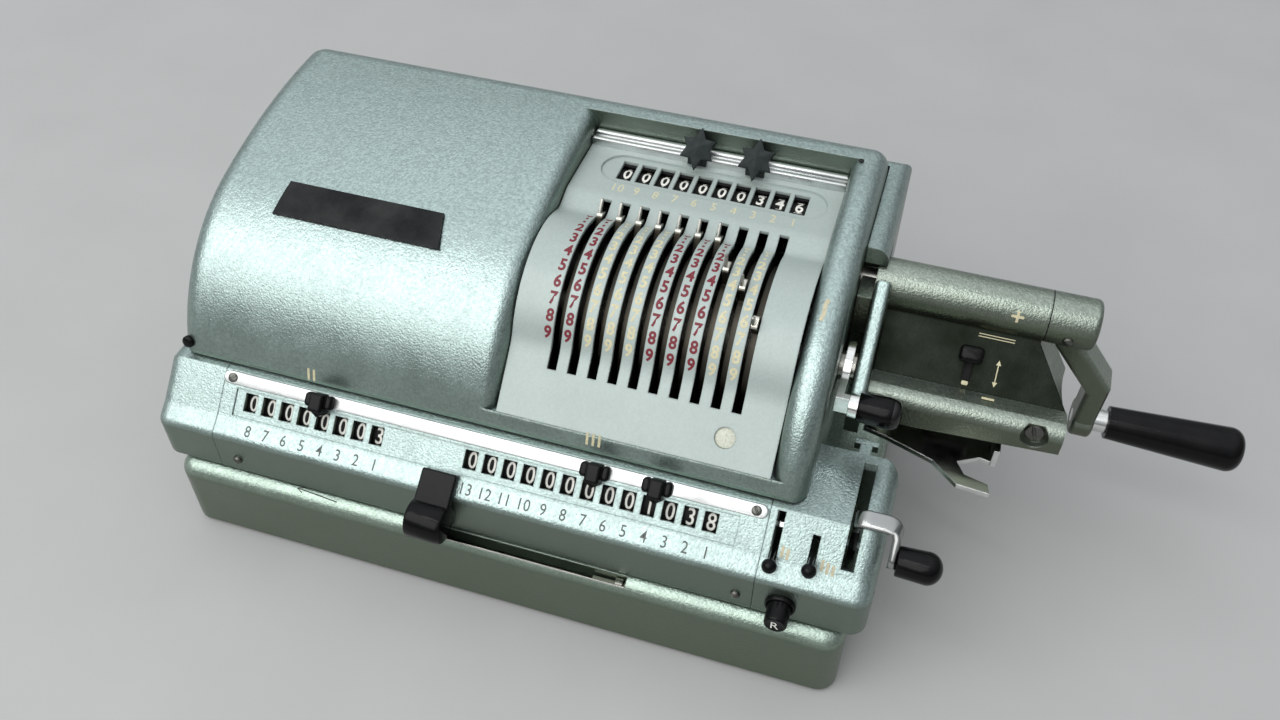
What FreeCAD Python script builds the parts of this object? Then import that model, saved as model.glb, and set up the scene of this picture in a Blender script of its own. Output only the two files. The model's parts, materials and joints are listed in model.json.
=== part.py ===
import FreeCAD
import Part
import math
import os

# Pinwheel adding machine with a shifting carriage, in millimetres.
# X runs along the decades to the crank, Y away from the operator, Z up from the table.
# Working datums: X = 0 at the result's units place, Y = 0 at the drum axis, Z = 0 on the table.
# The finished pieces are moved together so that the origin is under the middle of the machine.

# Decades
PITCH = 7.0
COLUMNS = 10
RESULT_PLACES = 13
COUNTER_PLACES = 8
COUNTER_UNITS = 17
SET_DIGITS = (6, 4, 3, 0, 0, 0, 0, 0, 0, 0)
DIGIT_STEP_DEG = 10.1
ZERO_DEG = 117.4

# Clearances
FIT = 0.05
GAP = 0.3
WINDOW_GAP = 0.4

# Base
FOOT_HEIGHT = 2.0
FOOT_RADIUS = 8.0
FOOT_INSET = 20.0
BASE_LEFT = -198.0
BASE_RIGHT = 50.0
BASE_FRONT = -76.0
BASE_BACK = 77.0
BASE_HEIGHT = 30.0
BASE_WALL = 3.5
BASE_CORNER = 7.0
BASE_EDGE = 6.0
LEDGE_DEPTH = 14.0
LEDGE_THICKNESS = 6.0
FLOOR_THICKNESS = 1.5

# Drum and setting plate
DRUM_Z = 81.4
PLATE_RADIUS = 32.9
PLATE_THICKNESS = 1.2
PLATE_FOOT = (-49.2, 73.2)
PLATE_CREASE_DEG = 18.0
PLATE_VALLEY_DEG = 119.0
PLATE_SINK = 10.6
PLATE_FLAT_START = 24.0
PLATE_CREASE_ROUND = 18.0
PLATE_VALLEY_ROUND = 6.0
PLATE_FLAT_ROUND = 10.0
RECESS_X = -1.2
RECESS_UP = 9.5
RECESS_RADIUS = 3.5
SLOT_SHIFT = 0.6
SLOT_WIDTH = 3.2
SLOT_FRONT = -36.6
SLOT_BACK = 22.6
CHECK_SHIFT = 1.9
CHECK_Y = 40.8
CHECK_WINDOW_WIDTH = 5.4
CHECK_WINDOW_DEPTH = 10.8
TROUGH_DEPTH = 0.8
TROUGH_WIDTH = 16.0
TROUGH_END = 6.0
CHECK_DIAL_RADIUS = 9.0
CHECK_SHAFT_RADIUS = 2.0
DIAL_WIDTH = 5.6

# Pinwheels and setting levers
DRUM_SHAFT_RADIUS = 5.0
PINWHEEL_RADIUS = 30.0
PINWHEEL_HUB_RADIUS = 13.0
PINWHEEL_WEB = 2.6
PIN_COUNT = 9
PIN_WIDTH = 2.2
PIN_DEPTH = 5.0
PIN_STEP_DEG = 13.0
LEVER_THICKNESS = 2.0
LEVER_RING_RADIUS = 28.0
LEVER_TIP_RADIUS = 35.0
LEVER_WIDTH = 4.6
LEVER_SIDE_GAP = 0.3
FINGER_RADIUS = 20.0
FINGER_WIDTH = 6.0

# Upper casing
CASE_LEFT = -200.0
CASE_RIGHT = 28.0
CASE_WALL = 3.0
CASE_TOP = 124.0
CASE_CREST_Y = 62.0
CASE_BACK_RADIUS = 9.0
CASE_TOP_RADIUS = 230.0
CASE_FRONT_RADIUS = 69.0
CASE_NOSE_Y = -51.06
CASE_NOSE_RISE = 1.34
CASE_HEM = 66.8
CASE_LEFT_ROUND = 8.0
CASE_RIGHT_ROUND = 6.0
CASE_LIP = 2.0
BAY_LEFT = -78.4
BAY_RIGHT = 16.1
BAY_BACK = 58.0
BAY_ROUND = 6.0
CHEEK_ROUND = 5.0
BAY_POST = 9.0
PLATE_ROOM = 5.0
SIDE_BOTTOM = 32.2
SIDE_FRONT = -20.5

# Frame plates and tie rods
FRAME_THICKNESS = 3.0
FRAME_FRONT = -17.0
FRAME_BACK = 62.0
FRAME_DROP = 17.5
FRAME_CHEST_Y = -13.1
FRAME_SHOULDER_DROP = 26.0
LEFT_FRAME_X = -188.0
MIDDLE_FRAME_X = -74.0
RIGHT_FRAME_X = 18.5
TIE_RADIUS = 3.0
TIE_PLACES = ((52.0, 22.0), (52.0, 84.0), (-8.0, 16.0))

# Gear train from the crank to the drum
GEAR_MODULE = 0.8
GEAR_TEETH = 20
GEAR_WIDTH = 5.0
GEAR_X = 8.6
GEAR_LINE_DEG = 30.7
IDLER_STUD_RADIUS = 2.5

# Crank
CRANK_SHAFT_RADIUS = 4.0
CRANK_BARREL_RADIUS = 8.75
CRANK_SEAM_X = 90.4
CRANK_HUB_END_X = 106.7
CRANK_ARM_LENGTH = 49.5
CRANK_TILT_DEG = 7.2
CRANK_ARM_WIDTH = 12.0
CRANK_ARM_THICKNESS = 7.5
CRANK_ARM_X = 114.5
CRANK_BOSS_RADIUS = 7.0
SPINDLE_RADIUS = 2.5
COLLAR_RADIUS = 4.2
COLLAR_LENGTH = 4.5
GRIP_LENGTH = 46.0
GRIP_NECK_RADIUS = 6.0
GRIP_BELLY_RADIUS = 8.0

# Crank housing and gear guard
FLANGE_THICKNESS = 4.9
FLANGE_FRONT = 14.0
FLANGE_TOP = 100.8
GUARD_THICKNESS = 5.0
GUARD_BACK = (17.5, 106.5)
GUARD_FRONT = (-13.0, 80.0)
HOUSING_BOTTOM = 64.0
HOUSING_TAPER = 4.0
POCKET_X = 94.4
POCKET_Z = 73.2
POCKET_RADIUS = 4.5
POCKET_DEPTH = 2.5
HOUSING_WALL = 3.0
PANEL_FOOT = (6.3, 76.6)
RIDGE_TOP = 77.6
RIDGE_FRONT = -5.5
RIDGE_ROUND = 5.0
HOUSING_BULGE_X = 103.5
HOUSING_BULGE_RADIUS = 31.0
KNOB_X = 69.3
KNOB_PLACE = 9.4
KNOB_TRAVEL = 7.0
KNOB_RADIUS = 3.0
KNOB_HEIGHT = 5.0
KNOB_STEM_RADIUS = 1.4
STEP_PIVOT = (46.0, 4.0)
STEP_PIN_RADIUS = 2.5
STEP_LEVEL = 54.0
STEP_THICKNESS = 2.0
STEP_TAB_HEIGHT = 8.0
STEP_OUTLINE = (
    (-6.0, 7.0), (34.0, 5.0), (40.0, 2.0), (40.0, -9.0), (34.0, -8.0), (27.0, -12.0), (30.0, -17.0),
    (38.0, -19.0), (39.0, -23.0), (28.0, -22.0), (19.0, -14.0), (2.0, -8.0), (-6.0, -6.0),
)

# Rear cover
REAR_DEPTH = 6.2
REAR_TOP = 114.0
REAR_LEFT = -196.0
REAR_ROUND = 5.0
WING_RIGHT = 36.0
WING_FRONT = 24.0
WING_UNDERSIDE = 107.5
WING_LEG_FRONT = 39.5

# Carriage
CARRIAGE_LEFT = -203.7
CARRIAGE_RIGHT = 55.3
CARRIAGE_FRONT = -71.5
CARRIAGE_BACK = -23.0
CARRIAGE_TOP = 66.0
CARRIAGE_WALL = 2.5
CARRIAGE_ROUND = 6.0
BROW_ROUND = 4.0
CARRIAGE_TRAVEL = 49.0
CARRIAGE_FLOAT = 1.2
PANEL_LEFT = -179.5
PANEL_RIGHT = 18.0
PANEL_BACK = -37.0
SEAM = 0.15
REGISTER_Y = -60.7
REGISTER_Z = 58.8
SLOPE_DEG = 45.0
FOLD_PLACE = -6.5
BAND_DEG = 36.0
TROUGH_LEFT = -174.0
TROUGH_RIGHT = 9.0
TROUGH_LOW = -5.6
TROUGH_HIGH = 4.2
TROUGH_SINK = 0.5
WINDOW_WIDTH = 4.8
WINDOW_HEIGHT = 6.6
DIAL_RADIUS = 10.0
REGISTER_SHAFT_RADIUS = 2.5
GUIDE_FRONT = -34.0
GUIDE_WIDTH = 6.0
GUIDE_BOTTOM = 38.0
GUIDE_HEIGHT = 7.0
GUIDE_LEFT = -128.0
GUIDE_RIGHT = 17.0
GUIDE_POST = 4.0
SHOE_WALL = 3.0
SHOE_LENGTH = 4.0
SHOE_PLACES = (-119.0, -41.0)

# Rails and point riders
UPPER_RAIL_Y = 51.5
UPPER_RAIL_WIDTH = 6.2
UPPER_RAIL_HEIGHT = 3.6
CARRIAGE_RAIL_LOW = 5.4
CARRIAGE_RAIL_WIDTH = 4.6
CARRIAGE_RAIL_HEIGHT = 1.8
RIDER_WIDTH = 7.0
RIDER_CAP = 2.4
RIDER_LEG = 1.4
CARRIAGE_RIDER_PLACES = (-140.6, -40.2, -18.9)
UPPER_RIDER_PLACES = (-38.1, -16.8)
STAR_RADIUS = 5.4
STAR_ROOT_RADIUS = 3.4
STAR_POINTS = 6
STAR_HEIGHT = 3.0
STAR_SET = 0.3

# Controls on the carriage
SELECTOR_X = (21.7, 34.0)
SELECTOR_SLOT = ((-7.2, 9.4), (-5.4, 4.6))
SELECTOR_BALL_PLACE = (-7.8, -6.1)
SELECTOR_BALL_HEIGHT = 5.5
SELECTOR_BALL_RADIUS = 2.4
SELECTOR_SLOT_WIDTH = 2.6
SELECTOR_THICKNESS = 1.6
SELECTOR_PIVOT = (3.0, -16.0)
SELECTOR_PIN_RADIUS = 2.0
SELECTOR_ARM_WIDTH = 2.8
CLEAR_PIVOT = (-39.7, 37.8)
CLEAR_PIN_RADIUS = 2.5
CLEAR_X = 45.4
CLEAR_SLOT_WIDTH = 4.2
CLEAR_THICKNESS = 2.4
CLEAR_REST_DEG = 112.0
CLEAR_BAR_RADIUS = 33.2
CLEAR_BAR_THICKNESS = 3.0
CLEAR_BAR_WIDTH = 6.0
CLEAR_SWING_FRONT_DEG = 22.0
CLEAR_SWING_BACK_DEG = 38.0
CLEAR_GRIP_DEG = 129.0
CLEAR_GRIP_RADIUS = 32.0
CLEAR_REACH = 3.6
LEVER_GRIP_LENGTH = 17.0
LEVER_GRIP_RADIUS = 5.0
BUTTON_X = 27.3
BUTTON_Z = 40.2
BUTTON_RADIUS = 4.2
BUTTON_REACH = 8.5
BUTTON_TRAVEL = 5.0
BUTTON_FLANGE_RADIUS = 6.4
BUTTON_FLANGE = 1.5
SHIFT_KNOB_X = -92.6
SHIFT_KNOB_WIDTH = 12.4
SHIFT_KNOB_DEPTH = 11.5
SHIFT_KNOB_BROW = 2.5
SHIFT_KNOB_ROUND = 1.0
SHIFT_KNOB_LIP = 3.2
SHIFT_TRAVEL = 3.0
SHIFT_STEM = 2.0
SHIFT_ENGAGE = 5.0
SHIFT_SLOT_WIDTH = 3.0
SHIFT_SLOT_SPARE = 17.0

# Lug behind the carriage
LUG_X = 42.5
LUG_NECK = 4.0
LUG_HEAD = 8.0
LUG_THICKNESS = 3.0

# Setting clearing lever
RESET_RADIUS = 21.0
RESET_REST_DEG = 173.0
RESET_THICKNESS = 2.6
RESET_HUB_RADIUS = 9.0
RESET_ARM_WIDTH = 6.0

# Derived places
BASE_TOP = FOOT_HEIGHT + BASE_HEIGHT
PLATE_FLAT_Z = CASE_TOP - PLATE_SINK
FRAME_TOP = CASE_TOP - FRAME_DROP
FRAME_SHOULDER = CASE_TOP - FRAME_SHOULDER_DROP
FLOOR_TOP = FOOT_HEIGHT + FLOOR_THICKNESS
CASE_BACK = CASE_CREST_Y + CASE_BACK_RADIUS
GEAR_RADIUS = GEAR_MODULE * GEAR_TEETH / 2
GEAR_LINE = math.radians(GEAR_LINE_DEG)
IDLER_Y = 2 * GEAR_RADIUS * math.cos(GEAR_LINE)
IDLER_Z = DRUM_Z + 2 * GEAR_RADIUS * math.sin(GEAR_LINE)
CRANK_Y = 2 * IDLER_Y
CRANK_Z = 2 * IDLER_Z - DRUM_Z
CRANK_DOWN = math.radians(CRANK_TILT_DEG - 90)
GRIP_Y = CRANK_Y + CRANK_ARM_LENGTH * math.cos(CRANK_DOWN)
GRIP_Z = CRANK_Z + CRANK_ARM_LENGTH * math.sin(CRANK_DOWN)
GRIP_X = CRANK_ARM_X + CRANK_ARM_THICKNESS / 2 + COLLAR_LENGTH + GAP
CHECK_Z = PLATE_FLAT_Z - PLATE_THICKNESS - TROUGH_DEPTH - WINDOW_GAP - CHECK_DIAL_RADIUS
SLOPE = math.radians(SLOPE_DEG)
CARRIAGE_BOTTOM = BASE_TOP + CARRIAGE_FLOAT
FLANGE_X = CASE_RIGHT + GAP
GUARD_X = FLANGE_X + FLANGE_THICKNESS + GAP
HOUSING_X = GUARD_X + GUARD_THICKNESS + GAP
REAR_FRONT = CASE_BACK + GAP


def section(start, *steps):
    """Closed outline across the machine; a step is a point, or a pair for an arc through to its end."""
    edges = []
    here = start
    for step in steps + (start,):
        if isinstance(step[0], tuple):
            through, end = step
            arc = Part.Arc(*(FreeCAD.Vector(0, *p) for p in (here, through, end)))
            edges.append(arc.toShape())
        else:
            end = step
            if math.dist(here, end) > 1e-6:
                edges.append(Part.makeLine(FreeCAD.Vector(0, *here), FreeCAD.Vector(0, *end)))
        here = end
    return Part.Face(Part.Wire(edges))


def slab(face, x0, x1):
    """A section drawn out along the machine."""
    solid = face.extrude(FreeCAD.Vector(x1 - x0, 0, 0))
    solid.translate(FreeCAD.Vector(x0, 0, 0))
    return solid


def block(x0, x1, y0, y1, z0, z1):
    return Part.makeBox(x1 - x0, y1 - y0, z1 - z0, FreeCAD.Vector(x0, y0, z0))


def rod(y, z, radius, x0, x1):
    return Part.makeCylinder(radius, x1 - x0, FreeCAD.Vector(x0, y, z), FreeCAD.Vector(1, 0, 0))


def post(x, y, radius, z0, z1):
    return Part.makeCylinder(radius, z1 - z0, FreeCAD.Vector(x, y, z0))


def join(first, *others):
    return first.fuse(list(others)).removeSplitter()


def less(first, *others):
    return first.cut(list(others))


def polar(centre, radius, degrees):
    angle = math.radians(degrees)
    return (centre[0] + radius * math.cos(angle), centre[1] + radius * math.sin(angle))


def slope_point(along, above):
    """A place on the carriage's slope, up it from the windows and out from its face."""
    y = REGISTER_Y + along * math.cos(SLOPE) - above * math.sin(SLOPE)
    z = REGISTER_Z + along * math.sin(SLOPE) + above * math.cos(SLOPE)
    return (y, z)


def slope_block(x0, x1, along0, along1, above0, above1):
    corners = [slope_point(along0, above0), slope_point(along1, above0)]
    corners += [slope_point(along1, above1), slope_point(along0, above1)]
    return slab(section(*corners), x0, x1)


def bar(a, b, width, x0, x1):
    """A flat link between two places across the machine, with square ends."""
    length = math.dist(a, b)
    side = ((a[1] - b[1]) / length * width / 2, (b[0] - a[0]) / length * width / 2)
    corners = [(p[0] + k * side[0], p[1] + k * side[1]) for p, k in ((a, 1), (b, 1), (b, -1), (a, -1))]
    return slab(section(*corners), x0, x1)


def rounded(solid, radius, wanted):
    return solid.makeFillet(radius, [edge for edge in solid.Edges if wanted(edge)])


def lies_on_x(edge, x):
    return abs(edge.BoundBox.XMin - x) < 1e-3 and abs(edge.BoundBox.XMax - x) < 1e-3


def lies_along(edge, place):
    """Whether an edge runs along the machine through a place in the side view."""
    box = edge.BoundBox
    near = math.dist((box.YMin, box.ZMin), place) + math.dist((box.YMax, box.ZMax), place)
    return box.XLength > 1 and near < 1e-3


def column_x(place):
    return -PITCH * place


def grip(x, y, z, length, neck, belly):
    """A turned grip along the machine, slim at its neck and full towards its end."""
    tip = belly * 0.6
    points = [(0, 0), (0, neck), (length - tip, belly), (length, belly - tip), (length, 0)]
    edges = [
        Part.makeLine(FreeCAD.Vector(0, 0, 0), FreeCAD.Vector(0, neck, 0)),
        Part.makeLine(FreeCAD.Vector(0, neck, 0), FreeCAD.Vector(*points[2], 0)),
        Part.Arc(
            FreeCAD.Vector(*points[2], 0),
            FreeCAD.Vector(length - tip * 0.29, belly - tip * 0.29, 0),
            FreeCAD.Vector(*points[3], 0),
        ).toShape(),
        Part.makeLine(FreeCAD.Vector(*points[3], 0), FreeCAD.Vector(length, 0, 0)),
        Part.makeLine(FreeCAD.Vector(length, 0, 0), FreeCAD.Vector(0, 0, 0)),
    ]
    solid = Part.Face(Part.Wire(edges)).revolve(FreeCAD.Vector(0, 0, 0), FreeCAD.Vector(1, 0, 0), 360)
    solid.translate(FreeCAD.Vector(x, y, z))
    return solid


def spur_gear(y, z, x, bore, start_deg):
    """A straight-toothed wheel with a tooth at the start angle."""
    outer = GEAR_RADIUS + 0.9 * GEAR_MODULE
    root = GEAR_RADIUS - 1.2 * GEAR_MODULE
    step = 360 / GEAR_TEETH
    corners = []
    for tooth in range(GEAR_TEETH):
        middle = start_deg + tooth * step
        for radius, share in ((root, -0.31), (outer, -0.12), (outer, 0.12), (root, 0.31)):
            corners.append(polar((y, z), radius, middle + share * step))
    wheel = slab(section(*corners), x, x + GEAR_WIDTH)
    return less(wheel, rod(y, z, bore, x - 1, x + GEAR_WIDTH + 1)) if bore else wheel


def base_tray():
    shell = block(BASE_LEFT, BASE_RIGHT, BASE_FRONT, BASE_BACK, FOOT_HEIGHT, BASE_TOP)
    shell = rounded(shell, BASE_CORNER, lambda e: e.BoundBox.ZLength > BASE_HEIGHT - 1)
    shell = rounded(shell, BASE_EDGE, lambda e: e.BoundBox.ZMin > BASE_TOP - 1e-3)
    inside = block(
        BASE_LEFT + BASE_WALL, BASE_RIGHT - BASE_WALL, BASE_FRONT + BASE_WALL, BASE_BACK - BASE_WALL,
        FOOT_HEIGHT, BASE_TOP - LEDGE_THICKNESS,
    )
    mouth = block(
        BASE_LEFT + BASE_WALL, CASE_RIGHT - CASE_WALL, BASE_FRONT + LEDGE_DEPTH, BASE_BACK - BASE_WALL,
        BASE_TOP - LEDGE_THICKNESS, BASE_TOP + 1,
    )
    return less(shell, inside, mouth, shift_slot())


def shift_slot():
    """The groove in the front ledge that the shift knob's stem runs along."""
    back = CARRIAGE_FRONT
    x0 = SHIFT_KNOB_X - SHIFT_STEM
    x1 = SHIFT_KNOB_X + CARRIAGE_TRAVEL + SHIFT_STEM + SHIFT_SLOT_SPARE
    depth = SHIFT_ENGAGE + SHIFT_TRAVEL + 2 * GAP
    return block(x0, x1, back - SHIFT_SLOT_WIDTH, back, CARRIAGE_BOTTOM - depth, BASE_TOP + 1)


def bottom_plate():
    edge = BASE_WALL + GAP
    return block(
        BASE_LEFT + edge, BASE_RIGHT - edge, BASE_FRONT + edge, BASE_BACK - edge,
        FOOT_HEIGHT, FLOOR_TOP,
    )


def rubber_feet():
    feet = []
    for x in (BASE_LEFT + FOOT_INSET, BASE_RIGHT - FOOT_INSET):
        for y in (BASE_FRONT + FOOT_INSET, BASE_BACK - FOOT_INSET):
            feet.append(post(x, y, FOOT_RADIUS, 0, FOOT_HEIGHT))
    return Part.makeCompound(feet)


def frame_face():
    """Outline of a frame plate, under the setting plate and behind the carriage."""
    return section(
        (FRAME_FRONT, FLOOR_TOP), (FRAME_FRONT, DRUM_Z), (FRAME_CHEST_Y, FRAME_SHOULDER),
        (0, FRAME_SHOULDER + PLATE_ROOM), (PLATE_FLAT_START, FRAME_TOP), (FRAME_BACK, FRAME_TOP),
        (FRAME_BACK, FLOOR_TOP),
    )


def frame_holes(x):
    holes = [rod(0, DRUM_Z, DRUM_SHAFT_RADIUS + FIT, x - 1, x + FRAME_THICKNESS + 1)]
    holes += [rod(y, z, TIE_RADIUS + FIT, x - 1, x + FRAME_THICKNESS + 1) for y, z in TIE_PLACES]
    return holes


def frame_plates():
    plates = []
    for x in (LEFT_FRAME_X, MIDDLE_FRAME_X, RIGHT_FRAME_X):
        plate = less(slab(frame_face(), x, x + FRAME_THICKNESS), *frame_holes(x))
        if x != LEFT_FRAME_X:
            plate = less(plate, rod(CHECK_Y, CHECK_Z, CHECK_SHAFT_RADIUS + FIT, x - 1, x + FRAME_THICKNESS + 1))
        if x == RIGHT_FRAME_X:
            shaft_hole = rod(CRANK_Y, CRANK_Z, CRANK_SHAFT_RADIUS + FIT, x - 1, x + FRAME_THICKNESS + 1)
            stud = rod(IDLER_Y, IDLER_Z, IDLER_STUD_RADIUS, GEAR_X - GAP, x)
            plate = join(less(plate, shaft_hole), stud)
        plates.append(plate)
    return Part.makeCompound(plates)


def tie_rods():
    x1 = RIGHT_FRAME_X + FRAME_THICKNESS
    return Part.makeCompound([rod(y, z, TIE_RADIUS, LEFT_FRAME_X, x1) for y, z in TIE_PLACES])


def meeting(a, reach_a, b, reach_b):
    """Where circles round two places cross, on the left of the way from the first to the second."""
    span = math.dist(a, b)
    along = (span ** 2 + reach_a ** 2 - reach_b ** 2) / (2 * span)
    off = math.sqrt(reach_a ** 2 - along ** 2)
    u = ((b[0] - a[0]) / span, (b[1] - a[1]) / span)
    return (a[0] + along * u[0] - off * u[1], a[1] + along * u[1] + off * u[0])


def case_points(inset):
    """Key places of the casing's outline, moved inwards."""
    nose = (CASE_NOSE_Y, CASE_HEM + CASE_NOSE_RISE)
    top_centre = (CASE_CREST_Y, CASE_TOP - CASE_TOP_RADIUS)
    front_centre = meeting(nose, CASE_FRONT_RADIUS, top_centre, CASE_TOP_RADIUS - CASE_FRONT_RADIUS)
    tangent = math.atan2(top_centre[0] - front_centre[0], front_centre[1] - top_centre[1])
    front = math.atan2(front_centre[0] - nose[0], nose[1] - front_centre[1])

    def place(centre, radius, angle):
        return (centre[0] - radius * math.sin(angle), centre[1] + radius * math.cos(angle))

    crown = CASE_TOP_RADIUS - inset
    brow = CASE_FRONT_RADIUS - inset
    back = CASE_BACK_RADIUS - inset
    back_centre = (CASE_CREST_Y, CASE_TOP - CASE_BACK_RADIUS)
    return {
        "front": place(front_centre, brow, front),
        "brow": place(front_centre, brow, (front + tangent) / 2),
        "join": place(front_centre, brow, tangent),
        "crown": place(top_centre, crown, tangent / 2),
        "crest": place(top_centre, crown, 0),
        "turn": place(back_centre, back, -math.pi / 4),
        "back": place(back_centre, back, -math.pi / 2),
    }


def case_face(inset):
    """The casing's outline over its arch; moved inwards, it runs out past the open sides."""
    p = case_points(inset)
    past = 1 if inset else 0
    hem = CASE_HEM - past
    low = SIDE_BOTTOM - past
    front = SIDE_FRONT - past
    return section(
        (p["front"][0], hem), p["front"], (p["brow"], p["join"]), (p["crown"], p["crest"]),
        (p["turn"], p["back"]), (p["back"][0], low), (front, low), (front, hem),
    )


def plate_points(inset):
    """Key places of the setting plate's outline, moved inwards."""
    axis = (0, DRUM_Z)
    radius = PLATE_RADIUS - inset
    crease = polar(axis, PLATE_RADIUS, 180 - PLATE_CREASE_DEG)
    run = math.dist(PLATE_FOOT, crease)
    inward = ((crease[1] - PLATE_FOOT[1]) / run * inset, (PLATE_FOOT[0] - crease[0]) / run * inset)
    return {
        "foot": (PLATE_FOOT[0] + inward[0], PLATE_FOOT[1] + inward[1]),
        "crease": polar(axis, radius, 180 - PLATE_CREASE_DEG),
        "summit": polar(axis, radius, 180 - (PLATE_CREASE_DEG + PLATE_VALLEY_DEG) / 2),
        "valley": polar(axis, radius, 180 - PLATE_VALLEY_DEG),
        "flat": (PLATE_FLAT_START, PLATE_FLAT_Z - inset),
        "end": (BAY_BACK - GAP, PLATE_FLAT_Z - inset),
    }


def under_plate_face(inset):
    """The room under the setting plate, down to the table."""
    p = plate_points(inset)
    return section(
        p["foot"], p["crease"], (p["summit"], p["valley"]), p["flat"],
        (CASE_BACK - CASE_WALL, PLATE_FLAT_Z - inset), (CASE_BACK - CASE_WALL, 0), (p["foot"][0], 0),
    )


def case_run(x0, x1, left_round, right_round):
    """A length of the casing with its arch rounded over at both ends."""
    run = slab(case_face(0), x0, x1)
    arch = CASE_HEM + CASE_LEFT_ROUND
    for x, radius in ((x0, left_round), (x1, right_round)):
        run = rounded(run, radius, lambda e: lies_on_x(e, x) and e.BoundBox.ZMax > arch)
    return run


def top_cover():
    """Arched casing with the bay for the setting plate, open at the bottom, back and carriage."""
    cowl = case_run(CASE_LEFT, BAY_LEFT, CASE_LEFT_ROUND, BAY_ROUND)
    cheek = case_run(BAY_RIGHT, CASE_RIGHT, CHEEK_ROUND, CASE_RIGHT_ROUND)
    bridge = slab(case_face(0), BAY_LEFT - BAY_ROUND, BAY_RIGHT + CHEEK_ROUND)
    bay = block(
        BAY_LEFT - BAY_ROUND - 1, BAY_RIGHT + CHEEK_ROUND + 1, PLATE_FOOT[0], BAY_BACK,
        PLATE_FOOT[1] - PLATE_THICKNESS, CASE_TOP + 1,
    )
    shell = join(cowl, cheek, less(bridge, bay))
    left_room = slab(case_face(CASE_WALL), CASE_LEFT + CASE_WALL, BAY_LEFT - BAY_POST)
    under = slab(under_plate_face(PLATE_ROOM), BAY_LEFT - BAY_POST - 1, CASE_RIGHT - CASE_WALL)
    rear_door = block(
        CASE_LEFT + CASE_WALL, CASE_RIGHT - CASE_WALL, CASE_BACK - 2 * CASE_WALL, CASE_BACK + 1,
        0, CASE_TOP - 2 * CASE_BACK_RADIUS,
    )
    holes = [
        rod(0, DRUM_Z, DRUM_SHAFT_RADIUS + 1, BAY_RIGHT - CASE_WALL, CASE_RIGHT + 1),
        rod(CRANK_Y, CRANK_Z, CRANK_SHAFT_RADIUS + 1, BAY_RIGHT - CASE_WALL, CASE_RIGHT + 1),
    ]
    shell = less(shell, left_room, under, rear_door, *holes)
    lip = block(
        CASE_LEFT, BASE_LEFT + BASE_WALL, SIDE_FRONT, CASE_BACK,
        SIDE_BOTTOM, SIDE_BOTTOM + CASE_LIP,
    )
    return join(shell, lip)


def oblong(x0, x1, y, width, z0, z1):
    """A round-ended bar lying along the machine."""
    radius = width / 2
    middle = block(x0, x1, y - radius, y + radius, z0, z1)
    return join(middle, post(x0, y, radius, z0, z1), post(x1, y, radius, z0, z1))


def plate_recess():
    """A round hole square to the setting plate's foot."""
    p = plate_points(0)
    foot = FreeCAD.Vector(RECESS_X, *p["foot"])
    up = (FreeCAD.Vector(RECESS_X, *p["crease"]) - foot).normalize()
    out = FreeCAD.Vector(1, 0, 0).cross(up)
    base = foot + up * RECESS_UP - out * 2 * PLATE_THICKNESS
    return Part.makeCylinder(RECESS_RADIUS, 3 * PLATE_THICKNESS, base, out)


def setting_plate():
    outer = plate_points(0)
    inner = plate_points(PLATE_THICKNESS)
    face = section(
        outer["foot"], outer["crease"], (outer["summit"], outer["valley"]), outer["flat"], outer["end"],
        inner["end"], inner["flat"], inner["valley"], (inner["summit"], inner["crease"]), inner["foot"],
    )
    plate = slab(face, BAY_LEFT + GAP, BAY_RIGHT - GAP)
    bends = (("crease", PLATE_CREASE_ROUND), ("valley", PLATE_VALLEY_ROUND), ("flat", PLATE_FLAT_ROUND))
    for name, radius in bends:
        plate = rounded(plate, radius, lambda e: lies_along(e, outer[name]))
    left = column_x(COLUMNS - 1) + CHECK_SHIFT
    right = CHECK_SHIFT
    ends = (left - TROUGH_END + TROUGH_WIDTH / 2 - PITCH / 2, right + TROUGH_END - TROUGH_WIDTH / 2 + PITCH / 2)
    floor = PLATE_FLAT_Z - TROUGH_DEPTH
    underside = PLATE_FLAT_Z - PLATE_THICKNESS
    pan = oblong(*ends, CHECK_Y, TROUGH_WIDTH + 2 * PLATE_THICKNESS, floor - PLATE_THICKNESS, underside)
    plate = less(join(plate, pan), oblong(*ends, CHECK_Y, TROUGH_WIDTH, floor, PLATE_FLAT_Z + 1))
    cuts = [plate_recess()]
    for place in range(COLUMNS):
        slot_x = column_x(place) + SLOT_SHIFT
        half = SLOT_WIDTH / 2
        cuts.append(block(slot_x - half, slot_x + half, SLOT_FRONT, SLOT_BACK, DRUM_Z, CASE_TOP))
        window_x = column_x(place) + CHECK_SHIFT
        half = CHECK_WINDOW_WIDTH / 2
        deep = CHECK_WINDOW_DEPTH / 2
        cuts.append(
            block(window_x - half, window_x + half, CHECK_Y - deep, CHECK_Y + deep, CHECK_Z, PLATE_FLAT_Z + 1)
        )
    return less(plate, *cuts)


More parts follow.
